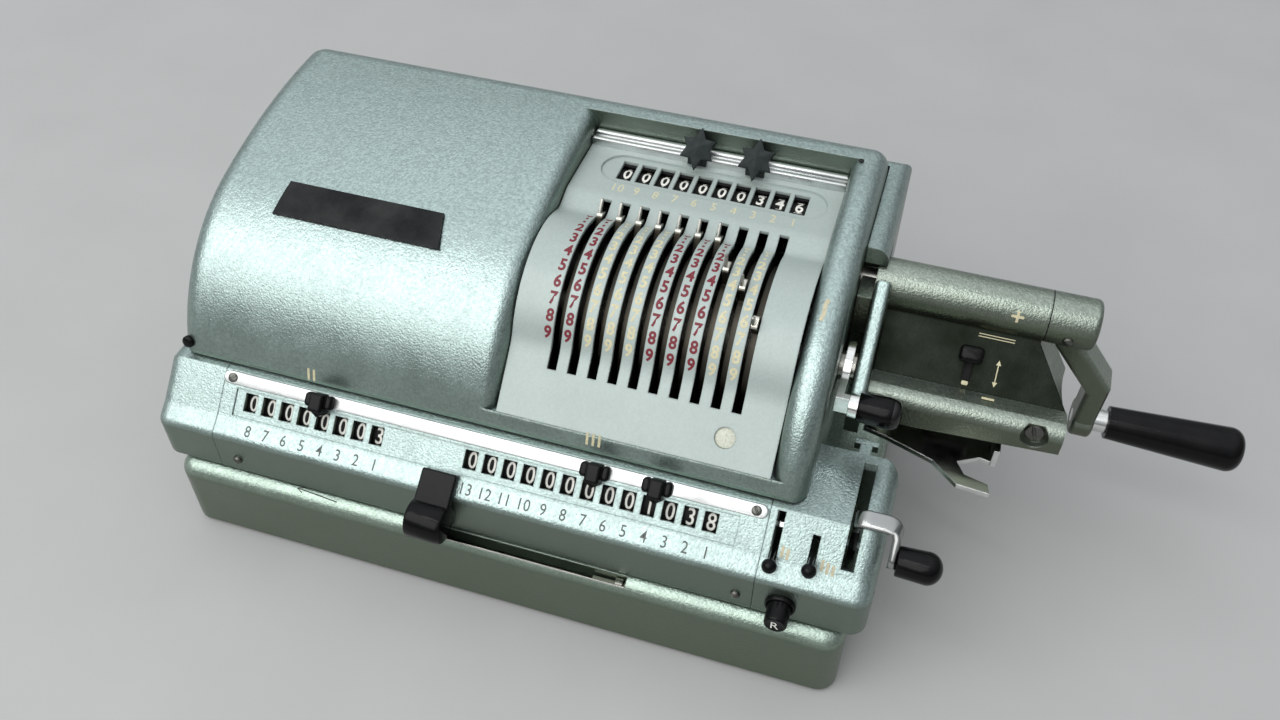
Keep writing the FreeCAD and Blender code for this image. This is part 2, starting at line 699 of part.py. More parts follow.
def rear_cover():
    """Back panel with a wing round the crank side, open towards the casing."""

    def tray(inset):
        back = block(
            REAR_LEFT + inset, WING_RIGHT - inset, REAR_FRONT - (1 if inset else 0),
            REAR_FRONT + REAR_DEPTH - inset, SIDE_BOTTOM - (1 if inset else 0), REAR_TOP - inset,
        )
        wing_x = FLANGE_X - (1 if inset else 0)
        roof = block(
            wing_x, WING_RIGHT - inset, WING_FRONT + inset, REAR_FRONT + inset,
            WING_UNDERSIDE - (1 if inset else 0), REAR_TOP - inset,
        )
        leg = block(
            wing_x, WING_RIGHT - inset, WING_LEG_FRONT + inset, REAR_FRONT + inset,
            SIDE_BOTTOM - (1 if inset else 0), REAR_TOP - inset,
        )
        return join(back, roof, leg)

    shell = tray(0)
    shell = rounded(
        shell, REAR_ROUND,
        lambda e: e.BoundBox.ZMin > REAR_TOP - 1e-3 and (
            lies_on_x(e, WING_RIGHT) or e.BoundBox.YMin > REAR_FRONT + REAR_DEPTH - 1e-3
        ),
    )
    return less(shell, tray(CASE_WALL))


def gear_guard():
    low = HOUSING_BOTTOM
    face = section(GUARD_FRONT, GUARD_BACK, (GUARD_BACK[0], low), (GUARD_FRONT[0], low))
    plate = slab(face, GUARD_X, GUARD_X + GUARD_THICKNESS)
    return rounded(plate, 1.5, lambda e: e.BoundBox.XLength < 1e-3 and e.BoundBox.ZMin > low + 1)


def housing_face(inset):
    """Outline of the crank housing: barrel, sloping panel, ridge and front."""
    barrel = (CRANK_Y, CRANK_Z)
    back = CRANK_Y + CRANK_BARREL_RADIUS
    shoulder = polar(barrel, CRANK_BARREL_RADIUS, 225)
    crown = polar(barrel, CRANK_BARREL_RADIUS, 112)
    turn = RIDGE_ROUND * (1 - math.sqrt(0.5))
    return section(
        (back, HOUSING_BOTTOM), (back, CRANK_Z), (crown, shoulder), PANEL_FOOT,
        (RIDGE_FRONT + RIDGE_ROUND, RIDGE_TOP),
        ((RIDGE_FRONT + turn, RIDGE_TOP - turn), (RIDGE_FRONT, RIDGE_TOP - RIDGE_ROUND)),
        (RIDGE_FRONT, HOUSING_BOTTOM),
    )


def panel_point(along, above):
    """A place on the housing's sloping panel, down it from the barrel and out from its face."""
    top = polar((CRANK_Y, CRANK_Z), CRANK_BARREL_RADIUS, 225)
    run = math.dist(top, PANEL_FOOT)
    down = ((PANEL_FOOT[0] - top[0]) / run, (PANEL_FOOT[1] - top[1]) / run)
    out = (down[1], -down[0])
    return (top[0] + along * down[0] + above * out[0], top[1] + along * down[1] + above * out[1])


def crank_housing():
    """Casting that carries the crank shaft, hollow underneath, with a bulged end inside the crank's sweep."""
    wall = HOUSING_WALL
    body = slab(housing_face(0), HOUSING_X, HOUSING_BULGE_X + wall)
    barrel = rod(CRANK_Y, CRANK_Z, CRANK_BARREL_RADIUS, FLANGE_X + FLANGE_THICKNESS, CRANK_SEAM_X)
    back = CRANK_Y + CRANK_BARREL_RADIUS
    flange = block(
        FLANGE_X, FLANGE_X + FLANGE_THICKNESS, FLANGE_FRONT, back, HOUSING_BOTTOM, FLANGE_TOP,
    )
    web = block(FLANGE_X, HOUSING_X, GUARD_BACK[0] + GAP, back, HOUSING_BOTTOM, CRANK_Z)
    sweep = HOUSING_BULGE_RADIUS
    far = 2 * CRANK_ARM_LENGTH
    cone = [
        (CRANK_SEAM_X, 0), (CRANK_SEAM_X, CRANK_BARREL_RADIUS + 1), (HOUSING_BULGE_X, sweep),
        (HOUSING_BULGE_X, far), (HOUSING_BULGE_X + far, far), (HOUSING_BULGE_X + far, 0),
    ]
    wire = Part.makePolygon([FreeCAD.Vector(x, r, 0) for x, r in cone + cone[:1]])
    turned = Part.Face(wire).revolve(FreeCAD.Vector(0, 0, 0), FreeCAD.Vector(1, 0, 0), 360)
    turned.translate(FreeCAD.Vector(0, CRANK_Y, CRANK_Z))
    ceiling = CRANK_Z - CRANK_BARREL_RADIUS - 2
    lip = panel_point(0, -wall)
    foot = panel_point(math.dist(polar((CRANK_Y, CRANK_Z), CRANK_BARREL_RADIUS, 225), PANEL_FOOT), -wall)
    lean = (lip[0] - foot[0]) / (lip[1] - foot[1])
    room = section(
        (back - wall, 0), (back - wall, ceiling), (foot[0] + lean * (ceiling - foot[1]), ceiling), foot,
        (RIDGE_FRONT + wall, RIDGE_TOP - RIDGE_ROUND - wall), (RIDGE_FRONT + wall, 0),
    )
    hollow = slab(room, HOUSING_X + wall, CRANK_SEAM_X - wall)
    slot_end = KNOB_PLACE + KNOB_TRAVEL + KNOB_STEM_RADIUS + GAP
    slot_start = KNOB_PLACE - KNOB_STEM_RADIUS - GAP
    half = KNOB_STEM_RADIUS + GAP / 2
    slot_face = section(
        panel_point(slot_start, 1), panel_point(slot_end, 1),
        panel_point(slot_end, -2 * wall), panel_point(slot_start, -2 * wall),
    )
    slot = slab(slot_face, KNOB_X - half, KNOB_X + half)
    bore = rod(CRANK_Y, CRANK_Z, CRANK_SHAFT_RADIUS + FIT, FLANGE_X - 1, CRANK_SEAM_X + 1)
    end_x = HOUSING_BULGE_X + wall
    under = [
        FreeCAD.Vector(HOUSING_X, 0, HOUSING_BOTTOM), FreeCAD.Vector(end_x, 0, HOUSING_BOTTOM + HOUSING_TAPER),
        FreeCAD.Vector(end_x, 0, 0), FreeCAD.Vector(HOUSING_X, 0, 0),
    ]
    taper = Part.Face(Part.makePolygon(under + under[:1])).extrude(FreeCAD.Vector(0, back - RIDGE_FRONT + 2, 0))
    taper.translate(FreeCAD.Vector(0, RIDGE_FRONT - 1, 0))
    pocket = Part.makeCylinder(
        POCKET_RADIUS, POCKET_DEPTH + 1, FreeCAD.Vector(POCKET_X, RIDGE_FRONT - 1, POCKET_Z), FreeCAD.Vector(0, 1, 0),
    )
    shape = less(join(body, barrel, flange, web), turned, hollow, slot, bore, taper, pocket)
    shoulder = STEP_LEVEL + STEP_THICKNESS + GAP
    stud = join(
        post(*STEP_PIVOT, 2 * STEP_PIN_RADIUS, shoulder, HOUSING_BOTTOM + wall),
        post(*STEP_PIVOT, STEP_PIN_RADIUS, STEP_LEVEL - STEP_THICKNESS, shoulder),
    )
    bridge = block(
        HOUSING_X, STEP_PIVOT[0], STEP_PIVOT[1] - wall, STEP_PIVOT[1] + wall, HOUSING_BOTTOM, HOUSING_BOTTOM + wall,
    )
    return join(shape, stud, bridge)


def upper_rail():
    return block(
        BAY_LEFT + GAP, BAY_RIGHT - GAP, UPPER_RAIL_Y, UPPER_RAIL_Y + UPPER_RAIL_WIDTH,
        PLATE_FLAT_Z, PLATE_FLAT_Z + UPPER_RAIL_HEIGHT,
    )


def check_shaft():
    return rod(CHECK_Y, CHECK_Z, CHECK_SHAFT_RADIUS, MIDDLE_FRAME_X, RIGHT_FRAME_X + FRAME_THICKNESS)


def check_dial(place):
    x = column_x(place) + CHECK_SHIFT - DIAL_WIDTH / 2
    dial = rod(CHECK_Y, CHECK_Z, CHECK_DIAL_RADIUS, x, x + DIAL_WIDTH)
    return less(dial, rod(CHECK_Y, CHECK_Z, CHECK_SHAFT_RADIUS + FIT, x - 1, x + DIAL_WIDTH + 1))


def drum_shaft():
    """Main shaft with its gear and the finger that steps the counter."""
    shaft = rod(0, DRUM_Z, DRUM_SHAFT_RADIUS, LEFT_FRAME_X, GUARD_X - GAP)
    finger_x = column_x(COUNTER_UNITS) - FINGER_WIDTH / 2
    hub = rod(0, DRUM_Z, PINWHEEL_HUB_RADIUS, finger_x, finger_x + FINGER_WIDTH)
    finger = block(
        finger_x, finger_x + FINGER_WIDTH, -FINGER_WIDTH / 2, FINGER_WIDTH / 2, DRUM_Z, DRUM_Z + FINGER_RADIUS,
    )
    gear = spur_gear(0, DRUM_Z, GEAR_X, 0, GEAR_LINE_DEG)
    return join(shaft, hub, finger, gear)


def idler_gear():
    half_step = 180 / GEAR_TEETH
    return spur_gear(IDLER_Y, IDLER_Z, GEAR_X, IDLER_STUD_RADIUS + FIT, GEAR_LINE_DEG + half_step)


def pinwheels():
    """One disc for each column, with a hub for its setting ring and its nine sliding pins' slots."""
    wheels = []
    for place in range(COLUMNS):
        lever_x = column_x(place) + SLOT_SHIFT
        hub_x = lever_x - LEVER_THICKNESS / 2 - LEVER_SIDE_GAP
        web_x = lever_x + LEVER_THICKNESS / 2 + LEVER_SIDE_GAP
        hub = rod(0, DRUM_Z, PINWHEEL_HUB_RADIUS, hub_x, hub_x + PITCH - FIT)
        web = rod(0, DRUM_Z, PINWHEEL_RADIUS, web_x, web_x + PINWHEEL_WEB)
        slots = []
        for pin in range(PIN_COUNT):
            cut = block(
                web_x - 1, web_x + PINWHEEL_WEB + 1, -PIN_WIDTH / 2, PIN_WIDTH / 2,
                DRUM_Z - PINWHEEL_RADIUS - 1, DRUM_Z - PINWHEEL_RADIUS + PIN_DEPTH,
            )
            turn = (pin - (PIN_COUNT - 1) / 2) * PIN_STEP_DEG
            cut.rotate(FreeCAD.Vector(0, 0, DRUM_Z), FreeCAD.Vector(1, 0, 0), turn)
            slots.append(cut)
        bore = rod(0, DRUM_Z, DRUM_SHAFT_RADIUS + FIT, hub_x - 1, hub_x + PITCH + 1)
        wheels.append(less(join(hub, web), bore, *slots))
    return Part.makeCompound(wheels)


def setting_lever(place):
    """A setting ring on its pinwheel's hub, with the blade that stands through the slot."""
    x = column_x(place) + SLOT_SHIFT - LEVER_THICKNESS / 2
    ring = rod(0, DRUM_Z, LEVER_RING_RADIUS, x, x + LEVER_THICKNESS)
    blade = block(
        x, x + LEVER_THICKNESS, -LEVER_WIDTH / 2, LEVER_WIDTH / 2, DRUM_Z, DRUM_Z + LEVER_TIP_RADIUS,
    )
    blade = rounded(
        blade, LEVER_WIDTH / 4,
        lambda e: e.BoundBox.XLength > LEVER_THICKNESS / 2 and e.BoundBox.ZMin > DRUM_Z + LEVER_RING_RADIUS,
    )
    turn = 90 - ZERO_DEG + SET_DIGITS[place] * DIGIT_STEP_DEG
    blade.rotate(FreeCAD.Vector(0, 0, DRUM_Z), FreeCAD.Vector(1, 0, 0), turn)
    bore = rod(0, DRUM_Z, PINWHEEL_HUB_RADIUS + FIT, x - 1, x + LEVER_THICKNESS + 1)
    return less(join(ring, blade), bore)


def crank_shaft():
    gear = spur_gear(CRANK_Y, CRANK_Z, GEAR_X, 0, GEAR_LINE_DEG)
    end = CRANK_HUB_END_X - CRANK_SHAFT_RADIUS
    return join(rod(CRANK_Y, CRANK_Z, CRANK_SHAFT_RADIUS, GEAR_X, end), gear)


def crank_arm():
    """Hub on the shaft's end and the cranked arm, drawn hanging from the axis and then turned to rest."""
    hub = rod(0, 0, CRANK_BARREL_RADIUS, CRANK_SEAM_X + GAP, CRANK_HUB_END_X)
    hub = rounded(hub, 2.0, lambda e: lies_on_x(e, CRANK_HUB_END_X))
    half = CRANK_ARM_THICKNESS / 2
    root_x = CRANK_HUB_END_X - CRANK_ARM_THICKNESS
    knee = 0.6 * CRANK_ARM_LENGTH
    profile = [
        (root_x - half, 0), (root_x - half, CRANK_BARREL_RADIUS), (CRANK_ARM_X - half, knee),
        (CRANK_ARM_X - half, CRANK_ARM_LENGTH), (CRANK_ARM_X + half, CRANK_ARM_LENGTH),
        (CRANK_ARM_X + half, knee - half), (root_x + half, CRANK_BARREL_RADIUS - half), (root_x + half, 0),
    ]
    width = CRANK_ARM_WIDTH
    wire = Part.makePolygon([FreeCAD.Vector(x, -width / 2, -r) for x, r in profile + profile[:1]])
    arm = Part.Face(wire).extrude(FreeCAD.Vector(0, width, 0))
    arm = rounded(arm, 2.0, lambda e: e.BoundBox.YLength < 1e-3 and e.BoundBox.ZMax < -CRANK_BARREL_RADIUS / 2)
    boss = rod(0, -CRANK_ARM_LENGTH, CRANK_BOSS_RADIUS, CRANK_ARM_X - half, CRANK_ARM_X + half)
    boss = rounded(boss, 1.5, lambda e: True)
    shape = join(hub, arm, boss)
    shape = less(
        shape,
        rod(0, 0, CRANK_SHAFT_RADIUS + FIT, CRANK_SEAM_X, CRANK_HUB_END_X - CRANK_SHAFT_RADIUS + FIT),
        rod(0, -CRANK_ARM_LENGTH, SPINDLE_RADIUS + FIT, CRANK_ARM_X - 2 * half, CRANK_ARM_X + 2 * half),
    )
    shape.rotate(FreeCAD.Vector(0, 0, 0), FreeCAD.Vector(1, 0, 0), CRANK_TILT_DEG)
    shape.translate(FreeCAD.Vector(0, CRANK_Y, CRANK_Z))
    return shape


def grip_spindle():
    face_x = CRANK_ARM_X + CRANK_ARM_THICKNESS / 2
    pin = rod(GRIP_Y, GRIP_Z, SPINDLE_RADIUS, CRANK_ARM_X - CRANK_ARM_THICKNESS / 2, GRIP_X + 0.8 * GRIP_LENGTH)
    collar = rod(GRIP_Y, GRIP_Z, COLLAR_RADIUS, face_x, face_x + COLLAR_LENGTH)
    return join(pin, collar)


def crank_grip():
    body = grip(GRIP_X, GRIP_Y, GRIP_Z, GRIP_LENGTH, GRIP_NECK_RADIUS, GRIP_BELLY_RADIUS)
    return less(body, rod(GRIP_Y, GRIP_Z, SPINDLE_RADIUS + FIT, GRIP_X - 1, GRIP_X + 0.8 * GRIP_LENGTH + GAP))


def inset_path(points, inset):
    """An open path of straight runs, moved to its right by the inset, with its corners kept."""
    runs = []
    for (ya, za), (yb, zb) in zip(points, points[1:]):
        length = math.dist((ya, za), (yb, zb))
        along = ((yb - ya) / length, (zb - za) / length)
        runs.append(((ya + along[1] * inset, za - along[0] * inset), along))
    moved = [runs[0][0]]
    for (a, u), (b, v) in zip(runs, runs[1:]):
        across = u[0] * v[1] - u[1] * v[0]
        t = ((b[0] - a[0]) * v[1] - (b[1] - a[1]) * v[0]) / across
        moved.append((a[0] + t * u[0], a[1] + t * u[1]))
    end = points[-1]
    last = runs[-1][1]
    moved.append((end[0] + last[1] * inset, end[1] - last[0] * inset))
    return moved


def carriage_face(inset, back):
    """The carriage's outline: front, figure band, window slope and flat top, open at the back and bottom."""
    fold = slope_point(FOLD_PLACE, 0)
    brow = fold[1] - math.tan(math.radians(BAND_DEG)) * (fold[0] - CARRIAGE_FRONT)
    crown = REGISTER_Y + (CARRIAGE_TOP - REGISTER_Z) / math.tan(SLOPE)
    low = CARRIAGE_BOTTOM - (1 if inset else 0)
    path = [(CARRIAGE_FRONT, low), (CARRIAGE_FRONT, brow), fold, (crown, CARRIAGE_TOP), (back, CARRIAGE_TOP)]
    return section(*inset_path(path, inset), (back, low))


def carriage_run(back, x0, x1):
    """A length of the carriage's outline with its brow rounded over."""
    fold = slope_point(FOLD_PLACE, 0)
    brow = (CARRIAGE_FRONT, fold[1] - math.tan(math.radians(BAND_DEG)) * (fold[0] - CARRIAGE_FRONT))
    return rounded(slab(carriage_face(0, back), x0, x1), BROW_ROUND, lambda e: lies_along(e, brow))


def carriage_panel():
    """Front panel with the register windows, and the shoes that run on the guide rail."""
    x0 = PANEL_LEFT + SEAM
    x1 = PANEL_RIGHT - SEAM
    shell = carriage_run(PANEL_BACK, x0, x1)
    inside = slab(carriage_face(CARRIAGE_WALL, PANEL_BACK + 1), x0 - 1, x1 + 1)
    panel = less(shell, inside)
    cuts = [slope_block(TROUGH_LEFT, TROUGH_RIGHT, TROUGH_LOW, TROUGH_HIGH, -TROUGH_SINK, 1)]
    for x in register_places():
        half = WINDOW_WIDTH / 2
        high = WINDOW_HEIGHT / 2
        cuts.append(slope_block(x - half, x + half, -high, high, -2 * CARRIAGE_WALL, CARRIAGE_WALL))
    panel = less(panel, *cuts)
    shoes = []
    for x in SHOE_PLACES:
        x2 = x + SHOE_LENGTH
        low = GUIDE_BOTTOM - SHOE_WALL
        high = GUIDE_BOTTOM + GUIDE_HEIGHT + SHOE_WALL
        back = GUIDE_FRONT + GUIDE_WIDTH + SHOE_WALL
        hanger = block(x, x2, PANEL_BACK - SHOE_WALL, PANEL_BACK, low, CARRIAGE_TOP - CARRIAGE_WALL)
        saddle = block(x, x2, PANEL_BACK - SHOE_WALL, back, low, high)
        shoes.append(less(join(hanger, saddle), guide_bar(FIT, x - 1, x2 + 1)))
    return join(panel, *shoes)


def guide_bar(extra, x0, x1):
    return block(
        x0, x1, GUIDE_FRONT - extra, GUIDE_FRONT + GUIDE_WIDTH + extra,
        GUIDE_BOTTOM - extra, GUIDE_BOTTOM + GUIDE_HEIGHT + extra,
    )


def guide_rail():
    posts = []
    for x in (GUIDE_LEFT, GUIDE_RIGHT - GUIDE_POST):
        posts.append(
            block(x, x + GUIDE_POST, GUIDE_FRONT, GUIDE_FRONT + GUIDE_WIDTH, FLOOR_TOP, GUIDE_BOTTOM + GUIDE_HEIGHT)
        )
    return join(guide_bar(0, GUIDE_LEFT, GUIDE_RIGHT), *posts)


def register_places():
    """Middles of all the register windows along the machine."""
    result = [column_x(place) for place in range(RESULT_PLACES)]
    return result + [column_x(COUNTER_UNITS + place) for place in range(COUNTER_PLACES)]


def register_axis():
    return slope_point(0, -CARRIAGE_WALL - WINDOW_GAP - DIAL_RADIUS)


def register_shaft():
    y, z = register_axis()
    return rod(y, z, REGISTER_SHAFT_RADIUS, PANEL_LEFT - CARRIAGE_WALL, PANEL_RIGHT + CARRIAGE_WALL)


def dial_row(places):
    """Number wheels side by side on the register shaft."""
    y, z = register_axis()
    dials = []
    for x in places:
        dial = rod(y, z, DIAL_RADIUS, x - DIAL_WIDTH / 2, x + DIAL_WIDTH / 2)
        bore = rod(y, z, REGISTER_SHAFT_RADIUS + FIT, x - DIAL_WIDTH, x + DIAL_WIDTH)
        dials.append(less(dial, bore))
    return Part.makeCompound(dials)


def carriage_end(x0, x1, outer_x):
    """A hollow end block, rounded on its outer side and open underneath."""
    shell = carriage_run(CARRIAGE_BACK, x0, x1)
    shell = rounded(shell, CARRIAGE_ROUND, lambda e: lies_on_x(e, outer_x) and e.BoundBox.ZMax > CARRIAGE_BOTTOM + 1)
    room = slab(
        carriage_face(CARRIAGE_WALL, CARRIAGE_BACK - CARRIAGE_WALL), x0 + CARRIAGE_WALL, x1 - CARRIAGE_WALL,
    )
    y, z = register_axis()
    reach = CARRIAGE_WALL + 1
    bore = rod(y, z, REGISTER_SHAFT_RADIUS + FIT, PANEL_LEFT - reach, PANEL_RIGHT + reach)
    return less(shell, room, bore)


def carriage_left_end():
    return carriage_end(CARRIAGE_LEFT, PANEL_LEFT, CARRIAGE_LEFT)


def selector_slot(which):
    x = SELECTOR_X[which]
    half = SELECTOR_SLOT_WIDTH / 2
    return slope_block(x - half, x + half, *SELECTOR_SLOT[which], -2 * CARRIAGE_WALL, CARRIAGE_WALL)


def clear_slot():
    """Slot over the carriage's end that the clearing lever swings along."""
    inner = CLEAR_BAR_RADIUS - 2 * CLEAR_BAR_WIDTH
    margin = math.degrees(math.asin((CLEAR_BAR_WIDTH / 2 + GAP) / inner))
    front = polar(CLEAR_PIVOT, 2 * CLEAR_BAR_RADIUS, CLEAR_REST_DEG + CLEAR_SWING_FRONT_DEG + margin)
    back = polar(CLEAR_PIVOT, 2 * CLEAR_BAR_RADIUS, CLEAR_REST_DEG - CLEAR_SWING_BACK_DEG - margin)
    top = polar(CLEAR_PIVOT, 2 * CLEAR_BAR_RADIUS, CLEAR_REST_DEG)
    half = CLEAR_SLOT_WIDTH / 2
    return slab(section(CLEAR_PIVOT, back, top, front), CLEAR_X - half, CLEAR_X + half)


def carriage_right_end():
    """End block with the slots and pins of the selectors, the clearing lever and the transfer button."""
    shell = carriage_end(PANEL_RIGHT, CARRIAGE_RIGHT, CARRIAGE_RIGHT)
    button = Part.makeCylinder(
        BUTTON_RADIUS + FIT, 2 * CARRIAGE_WALL,
        FreeCAD.Vector(BUTTON_X, CARRIAGE_FRONT - 1, BUTTON_Z), FreeCAD.Vector(0, 1, 0),
    )
    shell = less(shell, selector_slot(0), selector_slot(1), clear_slot(), button)
    wall = CARRIAGE_WALL
    selector_pin = rod(*slope_point(*SELECTOR_PIVOT), SELECTOR_PIN_RADIUS, PANEL_RIGHT + wall, SELECTOR_X[1] + wall)
    clear_pin = rod(*CLEAR_PIVOT, CLEAR_PIN_RADIUS, CLEAR_X - CLEAR_SLOT_WIDTH, CARRIAGE_RIGHT - wall)
    neck_back = CARRIAGE_BACK + LUG_NECK
    low = CARRIAGE_TOP - LUG_THICKNESS
    neck = block(LUG_X - LUG_NECK / 2, LUG_X + LUG_NECK / 2, CARRIAGE_BACK - 1, neck_back, low, CARRIAGE_TOP)
    head = block(
        LUG_X - LUG_HEAD / 2, LUG_X + LUG_HEAD / 2, neck_back, neck_back + LUG_NECK / 2, low, CARRIAGE_TOP,
    )
    return join(shell, selector_pin, clear_pin, neck, head)


def carriage_rail():
    low = CARRIAGE_RAIL_LOW
    x0 = PANEL_LEFT + SEAM + GAP
    x1 = PANEL_RIGHT - SEAM - GAP
    return slope_block(x0, x1, low, low + CARRIAGE_RAIL_WIDTH, 0, CARRIAGE_RAIL_HEIGHT)


def carriage_rider(x):
    """A black pointer clipped over the carriage's rail."""
    half = RIDER_WIDTH / 2
    low = CARRIAGE_RAIL_LOW - FIT
    high = CARRIAGE_RAIL_LOW + CARRIAGE_RAIL_WIDTH
    top = CARRIAGE_RAIL_HEIGHT + FIT
    cap = slope_block(x - half, x + half, low - RIDER_LEG, high, top, top + RIDER_CAP)
    leg = slope_block(x - half, x + half, low - RIDER_LEG, low, GAP, top + RIDER_CAP)
    ridge = slope_block(x - half / 2, x + half / 2, low, high - RIDER_LEG, top, top + 2 * RIDER_CAP)
    return join(cap, leg, ridge)


def upper_rider(x):
    """A star-shaped pointer clipped over the rail above the setting windows."""
    half = RIDER_WIDTH / 2
    front = UPPER_RAIL_Y - FIT - RIDER_LEG
    top = PLATE_FLAT_Z + UPPER_RAIL_HEIGHT + FIT
    middle = UPPER_RAIL_Y + STAR_SET
    cap = block(x - half, x + half, front, UPPER_RAIL_Y + UPPER_RAIL_WIDTH, top, top + RIDER_CAP / 2)
    leg = block(x - half, x + half, front, front + RIDER_LEG, PLATE_FLAT_Z + GAP, top + RIDER_CAP / 2)
    corners = []
    for corner in range(2 * STAR_POINTS):
        radius = STAR_ROOT_RADIUS if corner % 2 else STAR_RADIUS
        place = polar((x, middle), radius, 90 + 180 * corner / STAR_POINTS)
        corners.append(FreeCAD.Vector(*place, top + RIDER_CAP / 2))
    star = Part.Face(Part.makePolygon(corners + corners[:1])).extrude(FreeCAD.Vector(0, 0, STAR_HEIGHT))
    return join(cap, leg, star)


def selector(which):
    """A register's selector: a flat arm on its pin with a ball at the end."""
    x0 = SELECTOR_X[which] - SELECTOR_THICKNESS / 2
    x1 = SELECTOR_X[which] + SELECTOR_THICKNESS / 2
    pivot = slope_point(*SELECTOR_PIVOT)
    ball_place = slope_point(SELECTOR_BALL_PLACE[which], SELECTOR_BALL_HEIGHT)
    hub = rod(*pivot, 2 * SELECTOR_PIN_RADIUS, x0, x1)
    arm = bar(pivot, ball_place, SELECTOR_ARM_WIDTH, x0, x1)
    ball = Part.makeSphere(SELECTOR_BALL_RADIUS, FreeCAD.Vector(SELECTOR_X[which], *ball_place))
    return less(join(hub, arm, ball), rod(*pivot, SELECTOR_PIN_RADIUS + FIT, x0 - 1, x1 + 1))


def register_clear_lever():
    """Bent lever through the carriage's long slot, with its grip beyond the carriage's end."""
    x0 = CLEAR_X - CLEAR_THICKNESS / 2
    x1 = CLEAR_X + CLEAR_THICKNESS / 2
    hub = rod(*CLEAR_PIVOT, 2 * CLEAR_PIN_RADIUS, x0, x1)
    bar_top = CLEAR_BAR_RADIUS + CLEAR_BAR_THICKNESS
    end = polar(CLEAR_PIVOT, bar_top, CLEAR_REST_DEG)
    arm = bar(CLEAR_PIVOT, end, CLEAR_BAR_WIDTH, x0, x1)
    reach_x = CARRIAGE_RIGHT + GAP + CLEAR_REACH
    cross = bar(polar(CLEAR_PIVOT, CLEAR_BAR_RADIUS, CLEAR_REST_DEG), end, CLEAR_BAR_WIDTH, x0, reach_x)
    grip_place = polar(CLEAR_PIVOT, CLEAR_GRIP_RADIUS, CLEAR_GRIP_DEG)
    middle = polar(CLEAR_PIVOT, bar_top - CLEAR_BAR_THICKNESS / 2, CLEAR_REST_DEG)
    drop = bar(middle, grip_place, CLEAR_BAR_WIDTH, reach_x - CLEAR_BAR_THICKNESS, reach_x)
    handle = grip(
        reach_x - CLEAR_BAR_THICKNESS, *grip_place, LEVER_GRIP_LENGTH, 0.8 * LEVER_GRIP_RADIUS, LEVER_GRIP_RADIUS,
    )
    shape = join(hub, arm, cross, drop, handle)
    return less(shape, rod(*CLEAR_PIVOT, CLEAR_PIN_RADIUS + FIT, x0 - 1, x1 + 1))


def setting_clear_lever():
    """Lever on the drum shaft's end that sweeps the setting levers back to nought."""
    axis = (0, DRUM_Z)
    x0 = CASE_RIGHT + (FLANGE_THICKNESS - RESET_THICKNESS) / 2 + GAP
    x1 = x0 + RESET_THICKNESS
    place = polar(axis, RESET_RADIUS, RESET_REST_DEG)
    hub = rod(*axis, RESET_HUB_RADIUS, x0, x1)
    arm = bar(axis, place, RESET_ARM_WIDTH, x0, x1)
    end_x = HOUSING_X + GAP
    cross = bar(polar(axis, RESET_RADIUS - RESET_THICKNESS, RESET_REST_DEG), place, RESET_ARM_WIDTH, x0, end_x)
    middle = polar(axis, RESET_RADIUS - RESET_THICKNESS / 2, RESET_REST_DEG)
    handle = grip(
        end_x - LEVER_GRIP_RADIUS, *middle, LEVER_GRIP_LENGTH, 0.8 * LEVER_GRIP_RADIUS, LEVER_GRIP_RADIUS,
    )
    shape = join(hub, arm, cross, handle)
    return less(shape, rod(*axis, DRUM_SHAFT_RADIUS + FIT, x0 - 1, x1 + 1))


def transfer_button():
    front = CARRIAGE_FRONT - BUTTON_REACH
    inner = CARRIAGE_FRONT + CARRIAGE_WALL + GAP
    out = FreeCAD.Vector(0, 1, 0)
    stem = Part.makeCylinder(BUTTON_RADIUS, inner - front, FreeCAD.Vector(BUTTON_X, front, BUTTON_Z), out)
    stem = rounded(stem, 0.8, lambda e: e.BoundBox.YMax < front + 1e-3)
    flange = Part.makeCylinder(BUTTON_FLANGE_RADIUS, BUTTON_FLANGE, FreeCAD.Vector(BUTTON_X, inner, BUTTON_Z), out)
    return join(stem, flange)


def shift_knob():
    """Thumb piece leaning over the carriage's front, with the stem that runs in the base's groove."""
    half = SHIFT_KNOB_WIDTH / 2
    back = CARRIAGE_FRONT - GAP
    low = CARRIAGE_BOTTOM + GAP
    front = back - SHIFT_KNOB_DEPTH
    fold = slope_point(FOLD_PLACE, 0)
    lean = math.tan(math.radians(BAND_DEG))
    under = fold[1] + 2 * GAP
    top = under + SHIFT_KNOB_LIP
    brow = top - lean * (fold[0] - front - SHIFT_KNOB_BROW)
    face = section(
        (back, low), (back, under - lean * (fold[0] - back)), (fold[0], under), (fold[0], top),
        (front + SHIFT_KNOB_BROW, brow), (front, brow - SHIFT_KNOB_BROW),
        (front, low + SHIFT_KNOB_BROW), (front + SHIFT_KNOB_BROW, low),
    )
    body = slab(face, SHIFT_KNOB_X - half, SHIFT_KNOB_X + half)
    body = rounded(body, SHIFT_KNOB_ROUND, lambda e: e.BoundBox.XLength > half)
    stem_back = back - (SHIFT_SLOT_WIDTH - SHIFT_STEM) / 2 + GAP
    stem = block(
        SHIFT_KNOB_X - SHIFT_STEM / 2, SHIFT_KNOB_X + SHIFT_STEM / 2, stem_back - SHIFT_STEM, stem_back,
        CARRIAGE_BOTTOM - SHIFT_ENGAGE - SHIFT_TRAVEL, low + SHIFT_STEM,
    )
    return join(body, stem)


